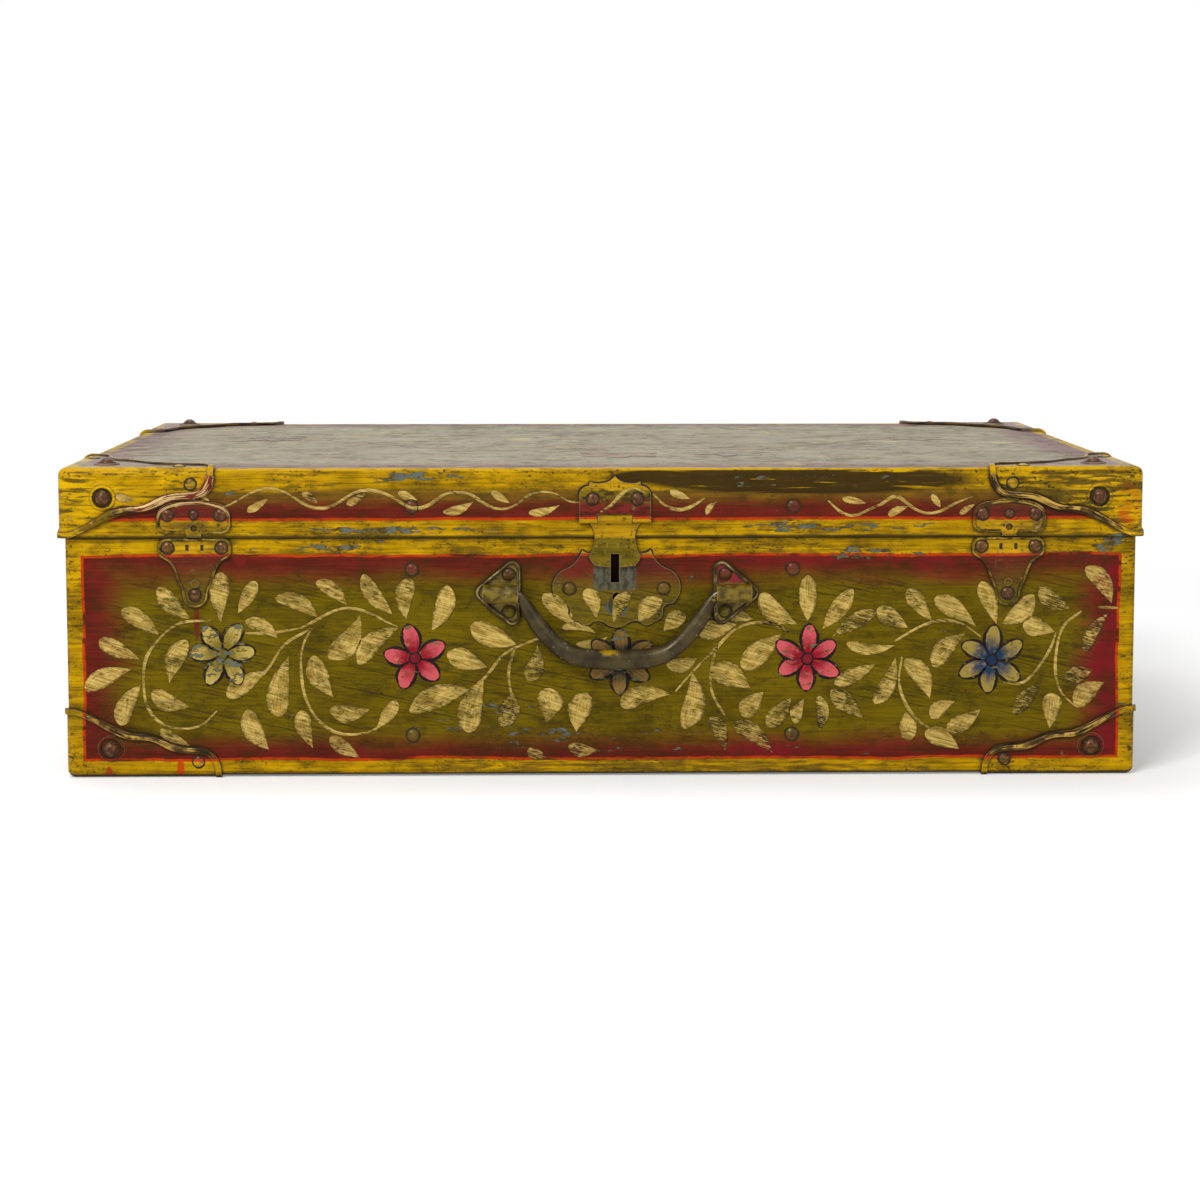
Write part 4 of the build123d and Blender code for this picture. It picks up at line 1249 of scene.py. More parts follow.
@dataclass(frozen=True)
class PetalPaint:
    """Petals shaded from a dark throat to a pale tip, with a black brush line round them."""

    bloom: Bloom
    throat: Colour
    tip: Colour
    heart: Colour
    ink: Colour = srgb(28, 20, 18)
    wash: float = 0.0           # how thin the paint is
    pale: Colour = srgb(206, 160, 136)

    def build(self, coat: ChestCoat) -> Material:
        """The paint's material."""
        shade, ground = coat.begin(f"petal_{self.bloom.value}" + ("_worn" if self.wash else ""))
        along, rim, wear = shade.attribute("mark")
        streak = shade.noise((1.1, 0.16, 0.16), 3, 81, shade.join(along, rim * 0.9 + wear * 7, 0))
        streak = streak * 0.6 + shade.noise(5.5, 2, 85) * 0.4
        body = shade.mix((along + (streak - 0.5) * 1.6).rise(0.14, 0.8), self.throat, self.tip)
        body = shade.mix(shade.noise(4.5, 3, 82).rise(0.58, 0.72) * 0.22, body, self.pale)
        heart = along.fall(-0.5, -0.1)
        colour = shade.mix(heart, body, self.heart)
        waver = (shade.noise(3.0, 2, 83) - 0.5) * 0.26
        inked = (rim + waver).rise(0.66, 0.74)
        colour = shade.mix(inked, colour, self.ink)
        flake = shade.noise((6, 6, 3), 4, 84, roughness=0.6) + wear * 0.2
        worn = flake.rise(0.66, 0.69)
        colour = shade.mix(worn, colour, shade.mix(flake.rise(0.7, 0.74), ground.colour, coat.chip))
        colour = shade.mix(self.wash, colour, ground.colour)
        return shade.finish(Layer(colour, ground.roughness, 0.0, 0.6 - worn * 0.3 + streak * 0.2))


BODY_LAYOUT = Layout(
    leaves=[Leaf(*spec) for spec in (
        # left scroll and the worn flower
        ((161, 586), (193, 618), 17), ((223, 571), (223, 622), 19), ((258, 580), (240, 612), 14),
        ((125, 608), (161, 633), 17), ((102, 638.5), (142, 658), 16), ((87, 688), (134, 668), 18),
        ((121, 724), (143, 683), 18), ((188, 638.5), (171, 682), 19, 0.5), ((153, 691), (190, 706), 18),
        ((161, 729), (194, 748), 12), ((247.5, 619), (279, 637), 15), ((228, 696), (267, 670), 18, 0.5),
        ((278, 716), (290, 655), 22), ((247.5, 709), (269, 749.5), 20, 0.2), ((313, 655), (334, 697), 20),
        ((330, 710), (370, 709), 17, 0.5), ((301, 710), (313, 748), 16), ((330, 737), (360, 758), 15),
        ((277, 596), (319, 616), 16, 0.5), ((318, 580), (348, 604), 15, 0.5), ((364, 573.5),
        (393, 613), 17, 0.2),
        ((330, 658), (361, 614), 22, 0.5), ((358.5, 663), (399, 627), 20, 0.5), ((410, 577),
        (407, 619), 18),
        ((397, 701), (376, 729), 14),
        # between the second flower and the handle
        ((449, 585), (432, 630), 19, 0.2), ((471, 624.5), (516, 644), 22, 0.2), ((447, 653),
        (487, 667), 20),
        ((409.5, 711.5), (473, 689), 22, 0.5), ((467, 732.5), (484, 678), 24, 0.4), ((529, 681),
        (537, 644), 17, 0.9),
        ((501, 727), (512, 692), 20, 0.8), ((548, 688), (546, 723), 24, 0.4), ((586, 693),
        (576, 732.5), 22, 0.2),
        ((527, 751), (546, 758), 12, 0.9), ((568, 747), (597.5, 751), 13, 0.7), ((543, 594),
        (576, 627), 17, 0.2),
        ((562, 627), (596, 633), 9, 0.3), ((576, 644), (607, 637), 9, 0.3), ((586, 588), (596, 617.5), 16),
        ((661, 598), (638, 622), 19, 0.5), ((628, 591), (613, 622), 14, 0.6), ((684.5, 613),
        (663, 631.5), 17),
        ((697, 633), (736, 624.5), 20), ((725, 608), (753, 619), 14), ((759, 594), (797, 624.5), 20, 0.2),
        ((807, 575), (807, 621), 18, 0.2),
        # below the handle, towards the fourth flower
        ((742, 669), (781, 634), 22, 0.2), ((711, 669), (750, 689), 24, 0.3), ((666, 665), (697, 658), 15),
        ((620, 704.5), (672, 695), 20), ((684.5, 730), (691.5, 672), 22, 0.3), ((711, 717),
        (725, 752), 15, 0.7),
        ((742, 717), (763, 693), 20, 0.4), ((734, 724), (773, 755), 18, 0.95), ((767, 728),
        (791, 699), 18, 0.5),
        ((795, 725), (804, 700), 12, 0.6),
        # right scrolls
        ((852, 589), (822, 629), 17, 0.7), ((875, 612), (832, 637), 16, 0.8), ((876.5, 609),
        (907, 628), 18, 0.7),
        ((907, 589), (931, 621), 16, 0.7), ((934, 598), (976, 628), 18, 0.2), ((933, 668),
        (966, 634), 19, 0.6),
        ((846, 644), (894, 646), 12, 0.5), ((834, 685), (875, 665), 15, 0.6), ((875, 705),
        (895, 657), 17, 0.6),
        ((905, 660), (930, 700), 20, 0.2), ((909, 743), (906, 713), 17, 0.4), ((931, 719),
        (955.5, 703), 15),
        ((947.5, 732), (981, 711), 17), ((926, 733.5), (960, 751), 18, 0.2), ((831, 691),
        (863, 719), 18, 0.7),
        ((819, 697), (819, 732), 13, 0.8), ((980, 582), (996, 625), 17, 0.2), ((1033, 595.5),
        (1001, 625), 19, 0.2),
        ((1038.6, 587.5), (1069, 609), 18, 0.5), ((1022.5, 625), (1055, 633), 18, 0.2),
        ((1085, 567), (1111, 604), 18, 0.4), ((1085, 653), (1108, 614), 13, 0.95), ((1065, 681),
        (1093.5, 670.5), 17, 0.8),
        ((1076, 708), (1105.5, 684), 20, 0.2), ((1014.5, 716), (1041, 684), 15, 0.8), ((1053, 695),
        (1051, 731), 19, 0.2))],
    stems=[Stem(points) for points in (
        ((213, 619), (182, 622), (162, 637), (148, 658), (145.5, 683), (149, 706), (165, 724),
        (182, 728), (203, 724),
         (218, 710)),
        ((302, 627), (348, 607), (399, 626)), ((313, 627), (284.5, 645), (269, 668), (239, 691)),
        ((313, 627), (305, 642), (302, 668), (305, 693), (318, 719), (335.5, 732), (358.5, 734),
        (379, 726.5),
         (394, 704)),
        ((540, 637), (503, 655), (484, 678), (470, 689)), ((515, 647), (509, 669), (513, 706)),
        ((790, 633), (773, 624.5), (753, 623), (734, 630), (717, 647), (697, 667), (675, 692)),
        ((717, 644), (711, 669), (712.5, 695), (725, 717)),
        ((894, 642), (918, 628), (942, 621), (964, 626), (981, 638)),
        ((902, 657), (899, 681), (906, 705), (921, 724), (942, 732), (958, 729.5)),
        ((1004, 684), (1020, 685), (1039, 668), (1052, 646), (1056, 633)),
        ((1081, 612), (1065, 625), (1057, 649), (1056, 673), (1063, 695), (1076, 708)),
        ((1097.5, 608), (1118, 609)), ((760, 622), (776, 625), (789.5, 633)),
        ((247, 632), (272, 632), (302, 627)))],
    flowers=[Flower((224.5, 652.6), 33, 6, 120, Bloom.CREAM, 0.75),
    Flower((415.6, 657.6), 32, 5, 102, Bloom.PINK),
             Flower((621, 661), 33, 6, 90, Bloom.DUSK, 0.45), Flower((807, 659.3), 33, 6, 90, Bloom.PINK),
             Flower((991.7, 661.2), 33, 6, 88, Bloom.BLUE)])

LID_LAYOUT = Layout(
    leaves=[Leaf(*spec) for spec in (
        ((251, 510), (272, 497), 8, 0.4), ((305, 492), (320, 502), 8, 0.6), ((349, 504),
        (368, 492), 8, 0.5),
        ((400, 491), (419, 499), 8, 0.1), ((444, 511), (475, 500), 9, 0.2), ((492, 490),
        (510, 502), 8, 0.1),
        ((529, 512), (560, 504), 8, 0.1), ((669, 490), (689, 498), 8, 0.2), ((840, 498),
        (864, 503), 7, 0.3),
        ((886, 515), (906, 506), 8, 0.3), ((929, 494), (938, 507), 7, 0.3), ((957, 514),
        (972, 504), 6, 0.5),
        ((705, 514), (716, 501), 6, 0.4), ((122, 494), (141, 499), 8, 0.2), ((203, 489),
        (214, 500), 8, 0.3))],
    stems=[Stem(points, 3.6) for points in (
        ((224, 507), (236, 502), (254, 492), (274, 487), (292, 493), (308, 503), (322, 507), (338, 503),
        (354, 493),
         (371, 489), (388, 493), (402, 501), (417, 507), (432, 503), (443, 495), (457, 491), (472, 494),
         (486, 503),
         (502, 508), (516, 504), (528, 495), (544, 491), (558, 494), (568, 500), (580, 502)),
        ((600, 511), (612, 503), (622, 492), (634, 488), (645, 492)),
        ((652, 493), (662, 503), (678, 509), (692, 505), (704, 497)),
        ((826, 500), (838, 511), (853, 515), (867, 509), (880, 503), (893, 496), (906, 504), (926, 513),
        (942, 509),
         (953, 503), (971, 496)),
        ((180, 505), (196, 500), (213, 498)), ((984, 505), (1003, 499), (1024, 501), (1040, 508)))],
    flowers=[])

TOP_LAYOUT = Layout(
    leaves=[Leaf(*spec) for spec in (
        ((20, 40), (52, 70), 24, 0.9), ((-30, 60), (8, 84), 22, 0.9), ((150, 30), (122, 66), 22, 0.8),
        ((180, 84), (140, 92), 22, 0.9), ((-70, 110), (-22, 100), 22, 0.8), ((-130, 84),
        (-88, 100), 22, 0.9),
        ((40, 150), (62, 120), 22, 0.9), ((120, 150), (110, 118), 20, 0.9), ((300, -60),
        (342, -74), 24, 0.8),
        ((352, -120), (368, -92), 24, 0.9), ((420, -40), (390, -62), 24, 0.8), ((-300, -60),
        (-340, -74), 24, 0.9),
        ((-420, -40), (-392, -60), 24, 0.9), ((-200, 40), (-160, 66), 22, 0.95), ((240, 200),
        (280, 210), 20, 0.9),
        ((-240, -180), (-200, -160), 22, 0.95), ((120, -160), (160, -150), 22, 0.95))],
    stems=[Stem(points, 4.0) for points in (
        ((-160, 110), (-100, 90), (-40, 104), (10, 96)), ((50, 96), (100, 70), (150, 80), (220, 40),
        (300, -50)),
        ((-320, -60), (-220, 20), (-140, 80)))],
    flowers=[Flower((20, 154), 42, 6, 90, Bloom.PINK, 0.9), Flower((140, 140), 38, 6, 80, Bloom.BLUE, 0.9),
             Flower((368, -74), 36, 6, 90, Bloom.CREAM, 1.0),
             Flower((-368, -74), 36, 6, 90, Bloom.PINK, 1.0)],
    middle=0.0, floor=0.0)


@dataclass
class Ornament:
    """The painted vines and flowers on the walls and the top."""

    seed: int = 7
    over_stem: float = 0.05     # a leaf's film over a stem's, in millimetres
    petal_lift: float = 0.26
    over_petal: float = 0.06    # the heart's film over the petals'
    heart: float = 0.2          # radius of the heart as a share of the petals' reach
    petals: Mapping[Bloom, PetalPaint] = field(default_factory=lambda: {
        Bloom.PINK: PetalPaint(Bloom.PINK, srgb(132, 8, 28), srgb(190, 80, 84), srgb(116, 20, 34)),
        Bloom.BLUE: PetalPaint(Bloom.BLUE, srgb(24, 48, 74), srgb(146, 124, 54), srgb(18, 42, 70)),
        Bloom.CREAM: PetalPaint(Bloom.CREAM, srgb(112, 96, 28), srgb(172, 150, 74), srgb(92, 84, 28)),
        Bloom.DUSK: PetalPaint(Bloom.DUSK, srgb(34, 38, 40), srgb(124, 94, 44), srgb(46, 38, 22))})

    def paint(self, layout: Layout, wall: Wall, skin: BVHTree, body: str, slot: str,
              paints: Mapping[Any, Material]) -> list[Piece]:
        """Paints a layout on a wall.

        Args:
            layout: the design.
            wall: where it goes.
            skin: what the paint lies on.
            body: the body that carries it.
            slot: not used.
            paints: materials of the leaves, by "leaf", and of the petals, by bloom.

        Returns:
            The painted pieces.
        """
        rng = random.Random(f"{self.seed} {wall.value} {body}")
        leaves = PaintFilm(wall, skin)
        for stem in layout.stems:
            leaves.lay(layout, *stem.grid(rng))
        leaves.lift += self.over_stem * MM
        for leaf in layout.leaves:
            leaves.lay(layout, *leaf.grid(rng))
        pieces = [leaves.dry(f"painted_leaves_{body}_{wall.value}", body, paints["leaf"])]
        for bloom in Bloom:
            film = PaintFilm(wall, skin, lift=self.petal_lift * MM)
            for flower in layout.flowers:
                if flower.bloom is bloom and bloom in paints:
                    for index in range(flower.petals):
                        film.lay(layout, *flower.petal(index, rng))
                    film.lift += self.over_petal * MM
                    film.lay(layout, *flower.heart(self.heart))
                    film.lift -= self.over_petal * MM
            if film.vertices:
                name = f"painted_flowers_{bloom.value}_{body}_{wall.value}"
                pieces.append(film.dry(name, body, paints[bloom]))
        return pieces


# ----------------------------------------------------------------------- sub-assemblies
class Paints:
    """Every finish, made once."""

    def __init__(self, coat: ChestCoat) -> None:
        """Builds the materials."""
        finishes = (
            PaintedSheet("painted_body", "painted_body"), PaintedSheet("painted_lid", "painted_lid"),
            PaintedFitting("body_caps", "painted_caps", 0.35, gloss=0.05),
            PaintedFitting("lid_caps", "painted_caps", 0.25, gloss=0.05, on_cap=True),
            RolledEdge("beads", "painted_caps"),
            RolledEdge("rims", "painted_fittings", srgb(28, 22, 8), srgb(76, 60, 18), srgb(170, 138, 56),
                       0.2, 0.7),
            RolledEdge("bracket_rims", "painted_fittings", srgb(34, 27, 12), srgb(86, 70, 30),
                       srgb(164, 146, 96), 0.0),
            HaspPaint("hasp_tongue", "painted_fittings", 0.3),
            CrownPaint("hasp_leaf", "painted_fittings", 0.3),
            LockPaint("lock_plate", "painted_fittings", 0.4),
            # dark lines and rings along plates and rivet heads: dirt, and painted shade where they meet the
            # sheet
            BareMetal("grime", "painted_fittings", srgb(22, 18, 8), srgb(36, 30, 14), srgb(60, 50, 26),
                      srgb(70, 58, 24), 0.2, 0.0, 0.6),
            PaintedFitting("fittings", "painted_fittings", 0.45),
            BracketPaint("brackets", "painted_fittings", 0.5, srgb(78, 64, 24), srgb(164, 146, 96), 0.2),
            RivetPaint("studs", "rivet_metal", 1.15, srgb(66, 38, 24), srgb(108, 72, 40)),
            RivetPaint("rivets", "rivet_metal", 0.2),
            BareMetal("handle", "handle_metal", srgb(44, 36, 20), srgb(76, 65, 36), srgb(136, 130, 132),
                      srgb(150, 118, 14), 0.02, 0.3, 0.2, 0.2, ((3.5, 78.7, 8, 2.4), (70, 112, 5, 3))),
            BareMetal("old_steel", "bare_steel", srgb(34, 24, 16), srgb(58, 40, 26), srgb(84, 66, 48),
                      srgb(44, 28, 16), 0.3, 0.2, 0.6, 0.2),
            BareMetal("bare_steel", "bare_steel", srgb(70, 72, 74), srgb(110, 112, 112), srgb(150, 150, 150),
                      srgb(90, 64, 44), 0.3, 0.8, 0.42),
            BareMetal("inner_steel", "inner_steel", srgb(66, 70, 70), srgb(96, 102, 102), srgb(126, 130, 130),
                      srgb(88, 62, 40), 0.3, 0.3, 0.5))
        self.materials = {finish.name: finish.build(coat) for finish in finishes}
        self.slots = {finish.name: finish.slot for finish in finishes}

    def dress(self, nodes: Nodes, finish: str, *names: str) -> None:
        """Gives a finish to the frame's own pieces, and says so."""
        for name in names:
            for slot in nodes[name].material_slots:
                slot.material = self.materials[finish]
        log.info("%s: %s", finish, ", ".join(names))

    def make(self, name: str, vertices: np.ndarray, faces: Sequence[Sequence[int]], body: str, finish: str,
             marks: np.ndarray | None = None) -> Piece:
        """A piece in one of the finishes, from vertices in millimetres."""
        return make_object(name, vertices * MM, faces, body, self.materials[finish], marks)


class Assembly:
    """A sub-assembly of the chest, with the finishes of its pieces that the frame brings."""

    finishes: ClassVar[Mapping[str, Sequence[str]]] = {}

    def dress(self, nodes: Nodes, paints: Paints) -> None:
        """Gives each of the pieces its finish."""
        for finish, names in self.finishes.items():
            paints.dress(nodes, finish, *names)

    def build(self, nodes: Nodes, paints: Paints) -> list[Piece]:
        """Makes the pieces that the frame doesn't bring.

        Args:
            nodes: the frame's pieces.
            paints: all finishes.

        Returns:
            The new pieces.
        """
        return []


@dataclass
class CornerCaps(Assembly):
    """The eight pressed caps and the rolled beads along their free edges."""

    finishes = {
        "body_caps": [f"body_cap_{corner}" for corner in CORNERS],
        "lid_caps": [f"lid_cap_{corner}" for corner in CORNERS],
        "studs": ("body_cap_studs", "lid_cap_studs"),
        "rivets": ("body_cap_pins", "lid_cap_pins")}
    length: float = 94.0
    height: float = 42.0
    rib: float = 3.4
    out: float = 1.0            # cap's face in front of the sheet
    fold: float = 4.0           # outside radius of the sheet's folds
    bead_half: float = 2.4
    bead_rise: float = 2.05
    fade: float = 20.0          # length over which the bead thins out towards a fold
    upright: tuple[Point, ...] = ((0.975, 0.27), (0.87, 0.40), (0.71, 0.44), (0.56, 0.585), (0.42, 0.62),
                                  (0.27, 0.76))
    level: tuple[Point, ...] = ((0.975, 0.13), (0.83, 0.2), (0.62, 0.27), (0.45, 0.45), (0.27, 0.62),
                                (0.2, 0.83), (0.13, 0.975))

    def curve(self, length: float, height: float, shares: Sequence[Point]) -> np.ndarray:
        """The middle of the bead on one face, from the long edge to the upright one."""
        points = [(length, self.fold)] + [(length * u, height * v) for u, v in shares] + [(self.fold, height)]
        return fair_curve(points, (0, 0.5), (-0.5, 0), 70)

    def turn(self, start: float, end: float, hub: Sequence[float], first: Sequence[float],
             second: Sequence[float]) -> list[Pair]:
        """Places and normals round a folded edge, between two angles in degrees.

        Args:
            start: first angle.
            end: last angle.
            hub: middle of the fold's radius.
            first: outward direction at 0 degrees.
            second: outward direction at 90 degrees.

        Returns:
            The rows between the two angles.
        """
        radius, rows = self.fold + self.out, []
        for angle in np.radians(np.linspace(start, end, 9)[1:-1]):
            normal = np.array(first) * math.cos(angle) + np.array(second) * math.sin(angle)
            rows.append((np.array(hub) + radius * normal, normal))
        return rows

    def path(self, lid: bool) -> Pair:
        """The bead's path on the corner at the origin, whose box lies towards +X, +Y and +Z.

        Args:
            lid: the path on a lid cap, which goes over the top as well.

        Returns:
            Places and normals.
        """
        length, height, fold = self.length - self.rib / 2, self.height - self.rib / 2, self.fold
        front, side, level = (0, -1, 0), (-1, 0, 0), (0, 0, -1)
        rise = self.curve(length, height, self.upright)
        rows = [(np.array((u, -self.out, v)), np.array(front, float)) for u, v in rise]
        rows += self.turn(0, 90, (fold, fold, height), front, side)
        rows += [(np.array((-self.out, u, v)), np.array(side, float)) for u, v in rise[::-1]]
        if lid:
            flat = self.curve(length, length, self.level)
            rows += self.turn(0, 90, (fold, length, fold), side, level)
            rows += [(np.array((u, v, -self.out)), np.array(level, float)) for u, v in flat[::-1]]
            rows += self.turn(90, 0, (length, fold, fold), front, level)
        else:
            rows = self.turn(52, 0, (length, fold, fold), front, level) + rows
            rows += self.turn(0, 52, (fold, length, fold), side, level)
        return np.array([row[0] for row in rows]), np.array([row[1] for row in rows])

    def girth(self, places: np.ndarray, normals: np.ndarray) -> np.ndarray:
        """How thick the bead is at each point: uneven, and flattened over the folds.

        Args:
            places: the path.
            normals: outward direction at each point.

        Returns:
            The share of the full thickness.
        """
        distance = distances(places)
        folds = distance[np.abs(normals).max(axis=1) < 0.999]
        gap = np.clip(np.abs(distance[:, None] - folds[None]).min(axis=1) / self.fade, 0, 1)
        level = np.clip(-normals[:, 2], 0, 1)
        uneven = 1 + 0.09 * np.sin(distance * 0.21)
        return (0.3 + 0.78 * gap * gap * (3 - 2 * gap) * (1 - 0.5 * level)) * uneven

    def build(self, nodes: Nodes, paints: Paints) -> list[Piece]:
        """Rolls the beads of all caps."""
        pieces = []
        for lid in (False, True):
            places, normals = self.path(lid)
            size = self.girth(places, normals)
            vertices, faces, marks = sweep(places, normals, self.bead_half * size, self.bead_rise * size, lid)
            step = LID_STEP if lid else 0.0
            body = "lid" if lid else "case"
            for corner in CORNERS:
                right, back = (1 if "right" in corner else -1), (1 if "rear" in corner else -1)
                x = right * (HALF_WIDTH + step - vertices[:, 0])
                y = back * (HALF_DEPTH + step - vertices[:, 1])
                z = LID_TOP - vertices[:, 2] if lid else self.out + vertices[:, 2]
                turned = right * back * (-1 if lid else 1) < 0
                ordered = [face[::-1] for face in faces] if turned else faces
                pieces.append(paints.make(f"{body}_cap_bead_{corner}", np.column_stack([x, y, z]), ordered,
                                          body, "beads", marks))
        return pieces


class Shell(Assembly):
    """Body, lid, floor and the straps behind their rivets."""

    finishes = {
        "painted_body": ("body_wall",),
        "painted_lid": ("lid_sheet",),
        "inner_steel": ("floor_sheet", "body_strap_left", "body_strap_right", "lid_strap_left",
                        "lid_strap_right"),
        "rivets": ("body_strap_rivets", "lid_strap_rivets")}


class RearHinges(Assembly):
    """The two butt hinges of the lid, with bare pins."""

    finishes = {
        "fittings": ("rear_hinge_body_leaf_left", "rear_hinge_body_leaf_right", "rear_hinge_lid_leaf_left",
                     "rear_hinge_lid_leaf_right"),
        "rivets": ("rear_hinge_body_rivets", "rear_hinge_lid_rivets"),
        "bare_steel": ("rear_hinge_pins",)}


def rounded_loop(corners: Sequence[Point], radius: float, inset: float, steps: int = 8) -> np.ndarray:
    """A closed outline with rounded corners, drawn inside by an inset.

    Args:
        corners: the sharp corners, anticlockwise.
        radius: radius of each rounded corner.
        inset: distance inside the outline.
        steps: points round each corner.

    Returns:
        The points of the loop.
    """
    rows = []
    count = len(corners)
    for i in range(count):
        before, here, after = (np.array(corners[(i + k) % count], float) for k in (-1, 0, 1))
        come, go = here - before, after - here
        come, go = come / np.linalg.norm(come), go / np.linalg.norm(go)
        half = math.acos(float(np.clip(-come @ go, -1, 1))) / 2
        inward = (go - come) / np.linalg.norm(go - come)
        hub = here + inward * radius / math.sin(half)
        first = math.atan2(-come[0], come[1])
        for angle in np.linspace(0, math.pi - 2 * half, steps):
            rows.append(hub + (radius - inset) * np.array([math.cos(first + angle), math.sin(first + angle)]))
    loop = np.array(rows)
    gaps = np.linalg.norm(loop - np.roll(loop, -1, 0), axis=1)
    filled = []
    for i, gap in enumerate(gaps):
        for share in np.linspace(0, 1, max(1, int(gap / 2.5)), endpoint=False):
            filled.append(loop[i] * (1 - share) + loop[(i + 1) % len(loop)] * share)
    return np.array(filled)


def front_bead(name: str, loop: np.ndarray, closed: bool, out: float, half: np.ndarray | float, rise: float,
               body: str, paints: Paints, finish: str) -> Piece:
    """A thin bead on the front, along an outline of x and z in millimetres.

    Args:
        name: the piece's name.
        loop: the outline.
        closed: whether it ends where it starts.
        out: its distance in front of the body wall.
        half: half its width.
        rise: half its height.
        body: the body that it rides on.
        paints: all finishes.
        finish: the name of its own.

    Returns:
        The piece.
    """
    places = np.column_stack([loop[:, 0], np.full(len(loop), -HALF_DEPTH - out), loop[:, 1]])
    normals = np.tile((0.0, -1.0, 0.0), (len(loop), 1))
    vertices, faces, marks = sweep(places, normals, half, rise, closed, 10)
    return paints.make(name, vertices, faces, body, finish, marks)


def outline_of(node: Piece) -> np.ndarray:
    """The outer edge of a plate's front, in order, as rows of x and z in millimetres.

    Args:
        node: the plate.

    Returns:
        The closed outline at even steps.
    """
    mesh = node.data
    fronts: dict[tuple[int, int], int] = {}
    for polygon in mesh.polygons:
        if polygon.normal.y < -0.95:
            for key in polygon.edge_keys:
                fronts[key] = fronts.get(key, 0) + 1
    ahead: dict[int, list[int]] = {}
    for (a, b), count in fronts.items():
        if count == 1:
            ahead.setdefault(a, []).append(b)
            ahead.setdefault(b, []).append(a)
    loops, left = [], set(ahead)
    while left:
        loop = [min(left)]
        left.remove(loop[0])
        while True:
            step = next((other for other in ahead[loop[-1]] if other in left), None)
            if step is None:
                break
            loop.append(step)
            left.remove(step)
        loops.append(np.array([mesh.vertices[i].co for i in loop]) / MM)
    longest = max(loops, key=lambda rows: float(np.ptp(rows[:, 0]) + np.ptp(rows[:, 2])))[:, [0, 2]]
    closed = np.vstack([longest, longest[:1]])
    distance = distances(closed)
    steps = np.linspace(0, distance[-1], int(distance[-1] / 0.9), endpoint=False)
    return np.column_stack([np.interp(steps, distance, closed[:, i]) for i in range(2)])


def heads_of(node: Piece) -> list[np.ndarray]:
    """The separate rivets of a node, each as rows of x, y and z in millimetres.

    Args:
        node: rivets that share a mesh.

    Returns:
        One array for each rivet.
    """
    mesh = node.data
    points = np.array([vertex.co for vertex in mesh.vertices]) / MM
    keys = [tuple(row) for row in np.round(points, 2)]
    leads = {key: key for key in keys}

    def lead(key: tuple[float, ...]) -> tuple[float, ...]:
        """The key that stands for a connected set."""
        while leads[key] != key:
            key = leads[key]
        return key
    for polygon in mesh.polygons:
        first = lead(keys[polygon.vertices[0]])
        for i in polygon.vertices[1:]:
            leads[lead(keys[i])] = first
    sets: dict[tuple[float, ...], list[np.ndarray]] = {}
    for key, point in zip(keys, points):
        sets.setdefault(lead(key), []).append(point)
    return [np.array(rows) for rows in sets.values()]


@dataclass(frozen=True)
class DirtAndShadeLines:
    """Dark lines along the plates and rings round the rivet heads, in millimetres: dirt, and painted shade
    where a plate or head meets the sheet.
    """

    line_half: float = 0.8
    line_rise: float = 0.45
    line_out: float = 0.1       # in front of the sheet
    ring_half: float = 0.45
    ring_rise: float = 0.3
    ring_gap: float = 0.25      # from the head's rim to the middle of its ring
    ring_out: float = 0.05      # from the foot of the head's rim
    ring_steps: int = 26

    def line(self, node: Piece, step: float, body: str, paints: Paints) -> Piece:
        """A thin uneven line along a plate's edge.

        Args:
            node: the plate.
            step: the sheet's distance outside the body wall.
            body: the body that carries it.
            paints: all finishes.

        Returns:
            The piece.
        """
        loop = outline_of(node)
        steps = np.arange(len(loop))
        uneven = self.line_half * (1 + 0.3 * np.sin(steps * 0.37) + 0.25 * np.sin(steps * 0.23 + 1))
        # dark line along the plate's edge: dirt and painted shade
        return front_bead(f"{node.name}_grime", loop, True, step + self.line_out, uneven, self.line_rise, body,
                          paints, "grime")

    def rings(self, node: Piece, body: str, paints: Paints) -> Piece:
        """Rings round the feet of a node's rivet heads.

        Args:
            node: the rivets.
            body: the body that carries them.
            paints: all finishes.

        Returns:
            The piece.
        """
        vertices, faces, marks = [], [], []
        turn = np.linspace(0, 2 * math.pi, self.ring_steps, endpoint=False)
        for rows in heads_of(node):
            middle = (rows.max(0) + rows.min(0)) / 2
            gaps = np.abs(np.array((HALF_WIDTH, HALF_DEPTH, LID_TOP)) - np.abs(middle))
            axis = int(np.argmin(gaps))
            normal = np.eye(3)[axis] * (1 if middle[axis] > 0 else -1)
            first, second = np.eye(3)[(axis + 1) % 3], np.eye(3)[(axis + 2) % 3]
            out = rows @ normal
            head = out > (out.max() + out.min()) / 2
            rows, out = rows[head], out[head]
            reach = np.hypot((rows - middle) @ first, (rows - middle) @ second)
            radius, foot = reach.max() + self.ring_gap, out[reach > reach.max() * 0.97].min()
            centre = middle - normal * (middle @ normal - foot - self.ring_out)
            places = centre + radius * (np.cos(turn)[:, None] * first + np.sin(turn)[:, None] * second)
            uneven = 1 + 0.35 * np.sin(turn * 2 + middle[0]) + 0.2 * np.sin(turn * 5 + middle[2])
            points, quads, ticks = sweep(places, np.tile(normal, (len(turn), 1)), self.ring_half * uneven,
                                         self.ring_rise, True, 6)
            faces += [[len(vertices) + i for i in quad] for quad in quads]
            vertices += list(points)
            marks += list(ticks)
        # dark rings round the heads: dirt and painted shade
        return paints.make(f"{node.name}_rings", np.array(vertices), faces, body, "grime", np.array(marks))


